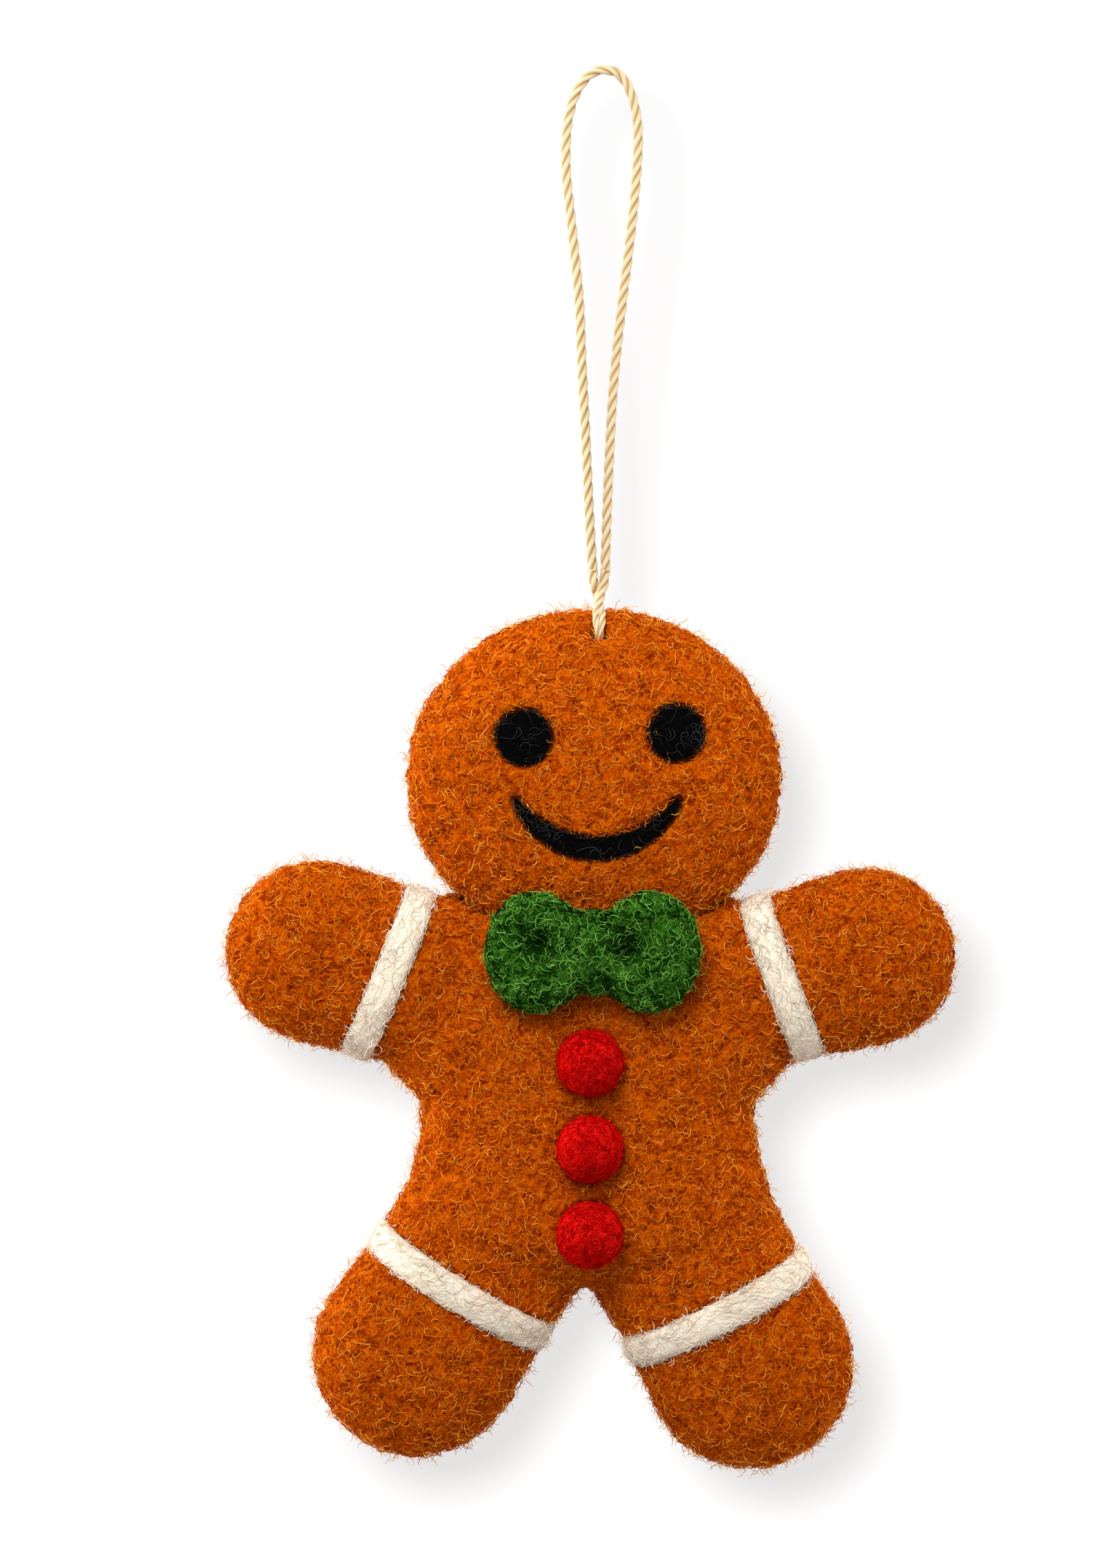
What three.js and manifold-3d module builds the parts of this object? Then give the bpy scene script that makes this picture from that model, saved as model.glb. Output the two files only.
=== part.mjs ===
// A needle-felted wool gingerbread figure on a twisted cord loop, for hanging on a twig.
// Millimetres, +Z up, the face towards -Y. The origin is the inside of the loop's top, where a twig bears.
// Every felt piece is its own solid: the head, the torso, the limbs, the white bands that wrap the limbs,
// the eyes, the smile, the bow tie, the felt-ball buttons, and the cord with its knotted end in the head.

import * as THREE from "three";
import { mergeVertices } from "three/addons/utils/BufferGeometryUtils.js";
import Module from "manifold-3d";

const wasm = await Module();
wasm.setup();

// Clearance between pieces that touch, and how far a cutting shape runs past what it cuts
const clearance = 0.3;
const overrun = 2;

// Cord
const cordDiameter = 1.5;
const loopDrop = 77.3; // from the inside of the loop's top down to the crown
const loopSidePlace = 1.5; // of the loop's top to the right of the figure's middle
const cordSidePlace = 0.65; // of the cord where it meets the crown
const cordForward = 1.6; // of the cord in front of the torso's mid plane
const foldRise = 2; // the cord folds this far above the crown
const neckLength = 3.1; // from the fold up to where the two strands part
const footSpread = 0.9; // of each strand from the middle, where they part
const pairSpread = 0.65; // of each strand from the middle, where they run together
const tailSinkDrop = 3.7; // the cord dives into the felt this far below the crown
const tailLift = 0.15; // of its centre over the felt before it dives
const knotDrop = 9.4;
const knotHalfWidth = 2.5;
const knotHalfHeight = 2.1;

// Head
const headHalfWidth = 27.2;
const headHalfHeight = 24.6;
const headHalfDepth = 10;
const headForward = 1.5;
const headSidePlace = -0.1;
const headPuff = 2.4; // exponent of the pillow's rounding: 2 is an ellipse, more is flatter

// Face
const eyeRadius = 4.05;
const smileRadius = 13.3;
const smileStroke = 3.2; // across its middle
const smileTipStroke = 1.1;
const faceProud = 0.5;
const faceSunk = 1.3;

// Torso
const neckOverlap = 12.2; // the head covers this much of the torso's top
const torsoHeight = 61.2;
const torsoHalfDepth = 9.5;
const neckHalfDepth = 5; // of the torso's thin top behind the head
const torsoSidePlace = -1;
const chestHalfWidth = 30.6;
const waistHalfWidth = 24.1;
const hipHalfWidth = 28.8;
const torsoPuff = 2.3;

// Limbs: half widths across, half depth, and how far each one reaches from inside the torso
const limbPuff = 2.3;
const limbHalfDepth = 8.5;
const limbRootHalfDepth = 6.8;
const armRootHalfWidth = 11.4;
const leftWristHalfWidth = 12.8;
const rightWristHalfWidth = 12;
const leftHandHalfWidth = 13.2;
const rightHandHalfWidth = 12.9;
const armInset = 15.3; // an arm starts this far inside the torso's side
const leftArmReach = 25.8;
const rightArmReach = 26.7;
const legRootHalfWidth = 14.9;
const legAnkleHalfWidth = 14.3;
const footHalfWidth = 15.1;
const legInset = 16.7;
const leftLegReach = 26.1;
const rightLegReach = 27;

// White bands round the limbs
const bandWidth = 4.2;
const bandThickness = 2.4;
const bandProud = 0.9; // of the limb's front and back
const bandSideProud = 0.3; // of the limb's two edges
const bandPuff = 3;
const bandButtGap = 0.8; // between the strip's two ends, behind the limb
const armBandBulge = 0.6; // towards the torso, at the front and the back
const legBandBulge = -1.3; // towards the foot

// Bow tie: one pad with two lobes and a waist, a hollow in each lobe, and a ridge between the hollows
const bowBelowChin = 0.4;
const bowSidePlace = -0.2;
const bowStand = 1.6; // of its mid plane in front of the chest
const bowPuff = 2.4;
const bowHalfDepth = 4.6;
const leftLobeHalfWidth = 7.2;
const rightLobeHalfWidth = 7;
const lobeHalfHeight = 8.6;
const lobePlace = 8.3; // of each lobe's centre from the bow's middle
const bowWaistHalfWidth = 4.8;
const bowWaistHalfHeight = 6;
const bowBlend = 8; // exponent that runs the lobes into the waist: more is sharper
const leftHollowDepth = 3.3;
const rightHollowDepth = 4.2;
const hollowHalfWidth = 2.9;
const ridgeHeight = 0.8;
const ridgeHalfWidth = 2.1;
const ridgeHalfLength = 5.4;

// Buttons
const buttonDiameter = 9.8;
const buttonPitch = 12.35;
const buttonSidePlace = 0.3; // of the balls from the torso's middle
const buttonStand = 1.2; // of a ball's centre in front of the chest

// Angles in degrees
const leftArmRise = 16;
const rightArmRise = 13.8;
const leftLegSplay = 33.3;
const rightLegSplay = 29;
const armBandTilt = 6.5;
const legBandTilt = 2;
const smileHalfAngle = 62;
const ridgeLean = 30;

// Places on the head and the torso as shares of their half widths, half heights or height
const leftEyeShares = [-0.373, 0.24];
const rightEyeShares = [0.437, 0.264];
const smileCentreShares = [0.014, 0.13];
const shoulderShare = 0.324;
const hipShare = 0.799;
const topRoundingShare = 0.212;
const underarmStartShare = 0.442;
const waistShare = 0.572;
const hipLineShare = 0.86;
const neckWidthShare = 0.9; // of the chest, where the top's rounding starts
const firstButtonShare = 0.467;
const armBandShares = [0.591, 0.539];
const legBandShares = [0.548, 0.64];
const tailRestShares = [0.2, 0.5, 0.8]; // of the sink drop, where the tail rests on the crown
const leftHollowShares = [0.04, 0.13]; // from its lobe's centre, of the lobe's half width and half height
const rightHollowShares = [-0.44, 0.07];
const ridgePlaceShare = -0.15; // of the lobes' place from the bow's middle

// Facet counts
const puffSides = 24;
const headRings = 7;
const limbSides = 20;
const endRings = 5;
const torsoRings = 13;
const limbRings = 5;
const bandSteps = 26;
const bandSides = 8;
const bowSides = 60;
const bowFrontRings = 14;
const bowBackRings = 5;
const cordSides = 8;
const loopSteps = 60;
const pairSides = 12;
const tailRings = 12;
const outlineSegments = 12;
const smileSteps = 9;
const ballSides = 16;
const ballRings = 10;

// Finishes
const finishes = {
  gingerbread: [0xb04704, 0.95],
  white: [0xeedccb, 0.95],
  black: [0x0d0e0d, 0.92],
  green: [0x335d1b, 0.95],
  red: [0xbd0b07, 0.9],
  cord: [0xe8cfa0, 0.8],
};

const strandRadius = cordDiameter / 2;
const crownToTorso = 2 * headHalfHeight - neckOverlap;
const figure = new THREE.Group();
figure.position.set(-loopSidePlace, cordForward, -loopDrop);
const ornament = new THREE.Group();
ornament.add(figure);

// Turns a closed geometry into a solid that can be cut and joined
function solidOf(geometry) {
  const bare = geometry.index ? geometry.toNonIndexed() : geometry.clone();
  bare.deleteAttribute("normal");
  bare.deleteAttribute("uv");
  const merged = mergeVertices(bare, clearance / 1000);
  return new wasm.Manifold(
    new wasm.Mesh({
      numProp: 3,
      vertProperties: merged.attributes.position.array,
      triVerts: new Uint32Array(merged.index.array),
    }),
  );
}

function geometryOf(solid) {
  const mesh = solid.getMesh();
  const geometry = new THREE.BufferGeometry();
  const stride = mesh.numProp;
  const places = new Float32Array(mesh.numVert * 3);
  for (let i = 0; i < mesh.numVert; i++) {
    places.set(mesh.vertProperties.subarray(i * stride, i * stride + 3), i * 3);
  }
  geometry.setAttribute("position", new THREE.BufferAttribute(places, 3));
  geometry.setIndex(new THREE.BufferAttribute(mesh.triVerts, 1));
  geometry.computeVertexNormals();
  return geometry;
}

function add(name, solid, finish, parent = figure) {
  const [color, roughness] = finishes[finish];
  const material = new THREE.MeshStandardMaterial({ color, roughness, metalness: 0 });
  const mesh = new THREE.Mesh(geometryOf(solid), material);
  mesh.name = name;
  parent.add(mesh);
  return mesh;
}

// A closed skin over rings of points; a ring of one point is a pole, and an end ring of more gets a flat cap
function skin(rings) {
  const places = rings.flat().flatMap((p) => [p.x, p.y, p.z]);
  const starts = rings.map((_, i) => rings.slice(0, i).reduce((n, r) => n + r.length, 0));
  const faces = [];
  for (let i = 0; i + 1 < rings.length; i++) {
    const near = rings[i].length;
    const far = rings[i + 1].length;
    const count = Math.max(near, far);
    for (let k = 0; k < count; k++) {
      const next = (k + 1) % count;
      const a = starts[i] + (near === 1 ? 0 : k);
      const b = starts[i] + (near === 1 ? 0 : next);
      const c = starts[i + 1] + (far === 1 ? 0 : k);
      const d = starts[i + 1] + (far === 1 ? 0 : next);
      if (near > 1) faces.push(a, b, d);
      if (far > 1) faces.push(a, d, c);
    }
  }
  for (const [i, turn] of [[0, 1], [rings.length - 1, -1]]) {
    for (let k = 1; k + 1 < rings[i].length; k++) {
      const pair = turn > 0 ? [k + 1, k] : [k, k + 1];
      faces.push(starts[i], starts[i] + pair[0], starts[i] + pair[1]);
    }
  }
  const geometry = new THREE.BufferGeometry();
  geometry.setAttribute("position", new THREE.Float32BufferAttribute(places, 3));
  geometry.setIndex(faces);
  const made = solidOf(geometry);
  if (made.volume() > 0) return made;
  geometry.setIndex(faces.reverse());
  return solidOf(geometry);
}

// One ring of a pillow: a section across the spine, rounded towards its edges and, by endShare, its end
function pillowRing({ at, across, halfWidth, halfDepth, endShare }, puff, sides) {
  if (endShare >= 1) return [at.clone()];
  return Array.from({ length: sides }, (_, k) => {
    const turn = (2 * Math.PI * k) / sides;
    const out = Math.sqrt(endShare ** 2 + (1 - endShare ** 2) * Math.cos(turn) ** 2);
    const rise = Math.max(0, 1 - out ** puff) ** (1 / puff);
    const depth = Math.sign(Math.sin(turn)) * halfDepth * rise;
    return at
      .clone()
      .addScaledVector(across, halfWidth * Math.cos(turn))
      .add(new THREE.Vector3(0, depth, 0));
  });
}

// Shares of an end's rounding, from near 0 at its start to 1 at its pole
const roundingShares = (rings) =>
  Array.from({ length: rings }, (_, i) => Math.sin((Math.PI / 2) * ((i + 1) / rings)));
const endShares = roundingShares(endRings);

// Head: a round pillow, grown or shrunk all over by grow
function headSolid(grow) {
  const centre = new THREE.Vector3(headSidePlace, -headForward, -headHalfHeight);
  const across = new THREE.Vector3(1, 0, 0);
  const half = roundingShares(headRings);
  const shares = [...half.map((s) => -s).reverse(), 0, ...half];
  const rings = shares.map((share) =>
    pillowRing(
      {
        at: centre.clone().add(new THREE.Vector3(0, 0, -share * (headHalfHeight + grow))),
        across,
        halfWidth: (headHalfWidth + grow) * Math.sqrt(1 - share ** 2),
        halfDepth: headHalfDepth + grow,
        endShare: Math.abs(share),
      },
      headPuff,
      puffSides,
    ),
  );
  return skin(rings);
}

// Depth of the head's front surface at a place on the face, given as x and z in the figure's frame
function faceFront(x, z) {
  const out = Math.hypot((x - headSidePlace) / headHalfWidth, (z + headHalfHeight) / headHalfHeight);
  return -headForward - headHalfDepth * Math.max(0, 1 - out ** headPuff) ** (1 / headPuff);
}

// Torso: chest, waist and hips, with a round top behind the head and a shallow round bottom at the crotch
function torsoHalfWidth(share) {
  if (share <= topRoundingShare) return chestHalfWidth * neckWidthShare;
  if (share <= underarmStartShare) {
    const part = (share - topRoundingShare) / (underarmStartShare - topRoundingShare);
    return chestHalfWidth * (neckWidthShare + (1 - neckWidthShare) * Math.sin((Math.PI / 2) * part));
  }
  if (share <= waistShare) {
    const part = (share - underarmStartShare) / (waistShare - underarmStartShare);
    return THREE.MathUtils.lerp(chestHalfWidth, waistHalfWidth, part * part * (3 - 2 * part));
  }
  const part = Math.min(1, (share - waistShare) / (hipLineShare - waistShare));
  return THREE.MathUtils.lerp(waistHalfWidth, hipHalfWidth, part ** 2);
}

function torsoDepth(share) {
  const part = Math.min(1, share / underarmStartShare);
  return THREE.MathUtils.lerp(neckHalfDepth, torsoHalfDepth, Math.sin((Math.PI / 2) * part));
}

function torsoPoint(sideShare, share) {
  return new THREE.Vector3(
    torsoSidePlace + sideShare * torsoHalfWidth(share),
    0,
    -crownToTorso - share * torsoHeight,
  );
}

function torsoSolid(grow) {
  const between = Array.from(
    { length: torsoRings + 1 },
    (_, i) => topRoundingShare + ((hipLineShare - topRoundingShare) * i) / torsoRings,
  );
  const top = endShares.map((s) => ({ share: topRoundingShare * (1 - s), end: s })).reverse();
  const bottom = endShares.map((s) => ({ share: hipLineShare + (1 - hipLineShare) * s, end: s }));
  const stations = [...top, ...between.map((share) => ({ share, end: 0 })), ...bottom];
  const rings = stations.map(({ share, end }) => {
    const at = torsoPoint(0, share);
    at.z += grow * (1 - 2 * share);
    return pillowRing(
      {
        at,
        across: new THREE.Vector3(1, 0, 0),
        halfWidth: (torsoHalfWidth(share) + grow) * Math.sqrt(1 - end ** 2),
        halfDepth: torsoDepth(share) + grow,
        endShare: end,
      },
      torsoPuff,
      puffSides,
    );
  });
  return skin(rings);
}

// The four limbs: where each starts inside the torso, the way it points, and its sizes
const along = (degrees) =>
  new THREE.Vector3(
    Math.sin(THREE.MathUtils.degToRad(degrees)),
    0,
    -Math.cos(THREE.MathUtils.degToRad(degrees)),
  );
function limbRoot(side, share, inset) {
  return torsoPoint(side, share).add(new THREE.Vector3(-side * inset, 0, 0));
}
const arm = {
  rootHalfWidth: armRootHalfWidth,
  bandBulge: armBandBulge,
};
const leg = {
  rootHalfWidth: legRootHalfWidth,
  bandHalfWidth: legAnkleHalfWidth,
  endHalfWidth: footHalfWidth,
  bandBulge: legBandBulge,
};
const limbs = [
  {
    ...arm,
    name: "arm_left",
    bandHalfWidth: leftWristHalfWidth,
    endHalfWidth: leftHandHalfWidth,
    root: limbRoot(-1, shoulderShare, armInset),
    way: along(-90 - leftArmRise),
    reach: leftArmReach,
    bandShare: armBandShares[0],
    bandTilt: armBandTilt,
  },
  {
    ...arm,
    name: "arm_right",
    bandHalfWidth: rightWristHalfWidth,
    endHalfWidth: rightHandHalfWidth,
    root: limbRoot(1, shoulderShare, armInset),
    way: along(90 + rightArmRise),
    reach: rightArmReach,
    bandShare: armBandShares[1],
    bandTilt: -armBandTilt,
  },
  {
    ...leg,
    name: "leg_left",
    root: limbRoot(-1, hipShare, legInset),
    way: along(-leftLegSplay),
    reach: leftLegReach,
    bandShare: legBandShares[0],
    bandTilt: -legBandTilt,
  },
  {
    ...leg,
    name: "leg_right",
    root: limbRoot(1, hipShare, legInset),
    way: along(rightLegSplay),
    reach: rightLegReach,
    bandShare: legBandShares[1],
    bandTilt: legBandTilt,
  },
];

// Half width and half depth of a limb at a share of its length
function limbSize(limb, share) {
  const towards = share <= limb.bandShare;
  const part = towards ? share / limb.bandShare : (share - limb.bandShare) / (1 - limb.bandShare);
  const ease = part * part * (3 - 2 * part);
  return {
    halfWidth: towards
      ? THREE.MathUtils.lerp(limb.rootHalfWidth, limb.bandHalfWidth, ease)
      : THREE.MathUtils.lerp(limb.bandHalfWidth, limb.endHalfWidth, ease),
    halfDepth: towards ? THREE.MathUtils.lerp(limbRootHalfDepth, limbHalfDepth, ease) : limbHalfDepth,
  };
}

function limbSolid(limb) {
  const across = new THREE.Vector3(-limb.way.z, 0, limb.way.x);
  const round = (share, sign, size) =>
    endShares.map((end) => ({
      at: limb.root
        .clone()
        .addScaledVector(limb.way, share * limb.reach + sign * end * size.halfWidth),
      across,
      halfWidth: size.halfWidth * Math.sqrt(1 - end ** 2),
      halfDepth: size.halfDepth,
      endShare: end,
    }));
  const middle = Array.from({ length: limbRings + 1 }, (_, i) => {
    const share = i / limbRings;
    const at = limb.root.clone().addScaledVector(limb.way, share * limb.reach);
    return { at, across, ...limbSize(limb, share), endShare: 0 };
  });
  const stations = [
    ...round(0, -1, limbSize(limb, 0)).reverse(),
    ...middle,
    ...round(1, 1, limbSize(limb, 1)),
  ];
  return skin(stations.map((station) => pillowRing(station, limbPuff, limbSides)));
}

// White band: a soft strip that wraps a limb and butts behind it; grow makes the groove that it lies in
function bandSolid(limb, grow) {
  const tilt = THREE.MathUtils.degToRad(limb.bandTilt);
  const axis = limb.way.clone().applyAxisAngle(new THREE.Vector3(0, 1, 0), tilt);
  const across = new THREE.Vector3(-axis.z, 0, axis.x);
  const centre = limb.root.clone().addScaledVector(limb.way, limb.bandShare * limb.reach);
  const size = limbSize(limb, limb.bandShare);
  const halfWidth = size.halfWidth + bandSideProud - bandThickness / 2;
  const halfDepth = size.halfDepth + bandProud - bandThickness / 2;
  const back = Math.PI / 2;
  const halfButt = grow > 0 ? 0 : bandButtGap / 2 / halfWidth;
  const place = (turn) => {
    const out = Math.abs(Math.cos(turn));
    const rise = Math.max(0, 1 - out ** limbPuff) ** (1 / limbPuff);
    return centre
      .clone()
      .addScaledVector(across, halfWidth * Math.cos(turn))
      .addScaledVector(axis, -limb.bandBulge * rise)
      .add(new THREE.Vector3(0, Math.sign(Math.sin(turn)) * halfDepth * rise, 0));
  };
  const rings = Array.from({ length: bandSteps + 1 }, (_, i) => {
    const turn = back + halfButt + ((2 * Math.PI - 2 * halfButt) * i) / bandSteps;
    const step = Math.PI / bandSteps;
    const ahead = place(turn + step).sub(place(turn - step)).normalize();
    const outward = new THREE.Vector3().crossVectors(ahead, axis).normalize();
    return Array.from({ length: bandSides }, (_, k) => {
      const round = (2 * Math.PI * (k + 0.5)) / bandSides;
      const wide = Math.sign(Math.cos(round)) * Math.abs(Math.cos(round)) ** (2 / bandPuff);
      const thick = Math.sign(Math.sin(round)) * Math.abs(Math.sin(round)) ** (2 / bandPuff);
      return place(turn)
        .addScaledVector(axis, wide * (bandWidth / 2 + grow))
        .addScaledVector(outward, thick * (bandThickness / 2 + grow));
    });
  });
  return skin(rings);
}

// A flat outline in the figure's x and z, run through the front of the head along Y
function throughFace(outline) {
  const geometry = new THREE.ExtrudeGeometry(outline, {
    depth: headHalfDepth + overrun,
    bevelEnabled: false,
    curveSegments: outlineSegments,
  });
  geometry.rotateX(Math.PI / 2);
  geometry.translate(0, -headForward, 0);
  return solidOf(geometry);
}

// A patch of felt let into the face: it stands proud of the head and fills a recess in it
function facePatch(outlineGrownBy) {
  const shell = headSolid(faceProud).subtract(headSolid(-faceSunk));
  const hole = throughFace(outlineGrownBy(clearance)).subtract(headSolid(-faceSunk - clearance));
  return { patch: throughFace(outlineGrownBy(0)).intersect(shell), hole };
}

function eyeOutline(shares) {
  const x = headSidePlace + shares[0] * headHalfWidth;
  const z = (shares[1] - 1) * headHalfHeight;
  return (grow) => new THREE.Shape().absarc(x, z, eyeRadius + grow, 0, 2 * Math.PI);
}

function smileOutline(grow) {
  const x = headSidePlace + smileCentreShares[0] * headHalfWidth;
  const z = (smileCentreShares[1] - 1) * headHalfHeight;
  const half = THREE.MathUtils.degToRad(smileHalfAngle);
  const place = (share, out) => {
    const turn = share * half - Math.PI / 2;
    const radius = smileRadius + out;
    return new THREE.Vector2(x + radius * Math.cos(turn), z + radius * Math.sin(turn));
  };
  const points = [];
  for (const side of [1, -1]) {
    for (let i = -smileSteps; i <= smileSteps; i++) {
      const share = (side * i) / smileSteps;
      const stroke = THREE.MathUtils.lerp(smileStroke, smileTipStroke, share ** 2);
      points.push(place(share, side * (stroke / 2 + grow)));
    }
    const tip = (smileTipStroke / 2 + grow) / smileRadius / half;
    points.push(place(side * (1 + tip), 0));
  }
  return new THREE.Shape(points);
}

// How far the bow reaches from its middle in a direction: to the far side of a lobe, or of the waist
function bowReach(turn) {
  const across = Math.cos(turn);
  const up = Math.sin(turn);
  const waist = 1 / Math.hypot(across / bowWaistHalfWidth, up / bowWaistHalfHeight);
  const lobes = [[-1, leftLobeHalfWidth], [1, rightLobeHalfWidth]].map(([side, halfWidth]) => {
    const square = (across / halfWidth) ** 2 + (up / lobeHalfHeight) ** 2;
    const towards = (side * across * lobePlace) / halfWidth ** 2;
    const inside = towards ** 2 - square * ((lobePlace / halfWidth) ** 2 - 1);
    return inside < 0 || towards < 0 ? 0 : (towards + Math.sqrt(inside)) / square;
  });
  return [waist, ...lobes].reduce((sum, reach) => sum + reach ** bowBlend, 0) ** (1 / bowBlend);
}

// How far the bow's front is worked in at a place from its middle: in at the hollows, out along the ridge
function bowWorking(x, z) {
  const lobes = [
    [-1, leftLobeHalfWidth, leftHollowShares, leftHollowDepth],
    [1, rightLobeHalfWidth, rightHollowShares, rightHollowDepth],
  ];
  const hollows = lobes.map(([side, halfWidth, shares, depth]) => {
    const gap = Math.hypot(
      x - side * lobePlace - shares[0] * halfWidth,
      z - shares[1] * lobeHalfHeight,
    );
    return depth * Math.exp(-((gap / hollowHalfWidth) ** 2));
  });
  const lean = THREE.MathUtils.degToRad(ridgeLean);
  const aside = x - ridgePlaceShare * lobePlace;
  const run = aside * Math.sin(lean) + z * Math.cos(lean);
  const off = aside * Math.cos(lean) - z * Math.sin(lean);
  const ridge = Math.exp(-((off / ridgeHalfWidth) ** 2) - (run / ridgeHalfLength) ** 4);
  return hollows[0] + hollows[1] - ridgeHeight * ridge;
}

function bowSolid() {
  const turns = Array.from({ length: bowSides }, (_, k) => {
    const turn = (2 * Math.PI * k) / bowSides;
    return Math.atan2((bowWaistHalfHeight / lobeHalfHeight) * Math.sin(turn), Math.cos(turn));
  });
  const reaches = turns.map(bowReach);
  const eased = reaches.map(
    (reach, k) => (reaches.at(k - 1) + 2 * reach + reaches[(k + 1) % bowSides]) / 4,
  );
  const rings = [];
  for (let i = -bowFrontRings; i <= bowBackRings; i++) {
    const front = i < 0;
    const share = front ? 1 + i / bowFrontRings : 1 - i / bowBackRings;
    const out = 1 - (1 - share) ** 1.5;
    const rise = bowHalfDepth * Math.max(0, 1 - out ** bowPuff) ** (1 / bowPuff);
    const ring = turns.map((turn, k) => {
      const x = out * eased[k] * Math.cos(turn);
      const z = out * eased[k] * Math.sin(turn);
      const y = front ? bowWorking(x, z) * (rise / bowHalfDepth) - rise : rise;
      return bowCentre.clone().add(new THREE.Vector3(x, y, z));
    });
    rings.push(share === 0 ? ring.slice(0, 1) : ring);
  }
  return skin(rings);
}

// Two strands of cord that run together: the outline round them, square to the way they go
function pairRing(centre, ahead, spread, radius) {
  const across = new THREE.Vector3(1, 0, 0);
  const out = new THREE.Vector3().crossVectors(ahead, across).normalize();
  return Array.from({ length: pairSides }, (_, k) => {
    const turn = (2 * Math.PI * (k + 0.5)) / pairSides;
    const side = Math.sign(Math.cos(turn));
    return centre
      .clone()
      .addScaledVector(across, side * spread + radius * Math.cos(turn))
      .addScaledVector(out, radius * Math.sin(turn));
  });
}

function ball(centre, radius) {
  const geometry = new THREE.SphereGeometry(radius, ballSides, ballRings);
  geometry.rotateX(Math.PI / 2);
  geometry.translate(centre.x, centre.y, centre.z);
  return solidOf(geometry);
}

// Head and torso, before what is let into them is cut out
const bowCentre = new THREE.Vector3(
  bowSidePlace,
  -torsoHalfDepth - bowStand,
  -2 * headHalfHeight - bowBelowChin,
);
const headGrown = headSolid(clearance);
const torsoGrown = torsoSolid(clearance);
let headFelt = headSolid(0);
let torsoFelt = torsoSolid(0).subtract(headGrown);

// Limbs, cut by the torso and the head, each with its band in a groove
for (const limb of limbs) {
  const felt = limbSolid(limb)
    .subtract(torsoGrown)
    .subtract(headGrown)
    .subtract(bandSolid(limb, clearance));
  torsoFelt = torsoFelt.subtract(bandSolid(limb, clearance));
  add(limb.name, felt, "gingerbread");
  add(limb.name.replace("_", "_band_"), bandSolid(limb, 0), "white");
}

// Face
for (const [name, outline] of [
  ["eye_left", eyeOutline(leftEyeShares)],
  ["eye_right", eyeOutline(rightEyeShares)],
  ["smile", smileOutline],
]) {
  const { patch, hole } = facePatch(outline);
  headFelt = headFelt.subtract(hole);
  add(name, patch, "black");
}

// Bow tie, its back shaped by the head and the chest that it lies on
add("bow_tie", bowSolid().subtract(headGrown).subtract(torsoGrown), "green");

// Buttons: felt balls, each in a shallow socket in the chest
["button_top", "button_middle", "button_bottom"].forEach((name, i) => {
  const centre = new THREE.Vector3(
    torsoSidePlace + buttonSidePlace,
    -torsoHalfDepth - buttonStand,
    -crownToTorso - firstButtonShare * torsoHeight - i * buttonPitch,
  );
  torsoFelt = torsoFelt.subtract(ball(centre, buttonDiameter / 2 + clearance));
  add(name, ball(centre, buttonDiameter / 2), "red");
});

// Cord neck and tail: where the two strands have run together, the cord folds above the crown.
// The tail goes on over the crown's front and dives through a needle hole to a knot inside the head.
const below = new THREE.Vector3(0, 0, -1);
const fold = new THREE.Vector3(cordSidePlace, -cordForward, foldRise);
const knotCentre = new THREE.Vector3(cordSidePlace, -headForward, -knotDrop);
const overFelt = (drop, lift) =>
  new THREE.Vector3(cordSidePlace, faceFront(cordSidePlace, -drop) - lift, -drop);
const tailRoute = new THREE.CatmullRomCurve3(
  [
    fold.clone().addScaledVector(below, strandRadius + clearance),
    ...tailRestShares.map((share) => overFelt(share * tailSinkDrop, tailLift)),
    overFelt(tailSinkDrop, -strandRadius),
    overFelt(tailSinkDrop, -strandRadius).lerp(knotCentre, 1 / 2),
    knotCentre.clone().addScaledVector(below, -knotHalfHeight),
  ],
  false,
  "centripetal",
);

function tailSolid(grow) {
  const rings = Array.from({ length: tailRings + 1 }, (_, i) => {
    const share = i / tailRings;
    const ahead = i === 0 ? below : tailRoute.getTangentAt(share);
    const spread = pairSpread * (1 - share / 2);
    return pairRing(tailRoute.getPointAt(share), ahead, spread, strandRadius + grow);
  });
  return skin(rings);
}

function knotSolid(grow) {
  const profile = Array.from({ length: ballRings + 1 }, (_, i) => {
    const turn = Math.PI * (i / ballRings) - Math.PI / 2;
    const radius = i % ballRings === 0 ? 0 : (knotHalfWidth + grow) * Math.cos(turn);
    return new THREE.Vector2(radius, (knotHalfHeight + grow) * Math.sin(turn));
  });
  const geometry = new THREE.LatheGeometry(profile, ballSides);
  geometry.rotateX(Math.PI / 2);
  geometry.translate(knotCentre.x, knotCentre.y, knotCentre.z);
  return solidOf(geometry);
}
headFelt = headFelt.subtract(tailSolid(clearance)).subtract(knotSolid(clearance));

add("head", headFelt, "gingerbread");
add("torso", torsoFelt, "gingerbread");
add("cord_tail", tailSolid(0).subtract(knotSolid(clearance)), "cord");
add("cord_knot", knotSolid(0), "cord");

// The neck is round below, about the fold, and flat on top, where it turns under the loop
function neckSolid() {
  const at = fold.clone().add(figure.position);
  const round = endShares
    .slice(0, -1)
    .reverse()
    .map((share) =>
      pairRing(
        at.clone().addScaledVector(below, share * strandRadius),
        below,
        pairSpread,
        strandRadius * Math.sqrt(1 - share ** 2),
      ),
    );
  const straight = [0, neckLength].map((rise) =>
    pairRing(at.clone().addScaledVector(below, -rise), below, pairSpread, strandRadius),
  );
  return skin([...round, ...straight]);
}
add("cord_neck", neckSolid(), "cord", ornament);

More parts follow.
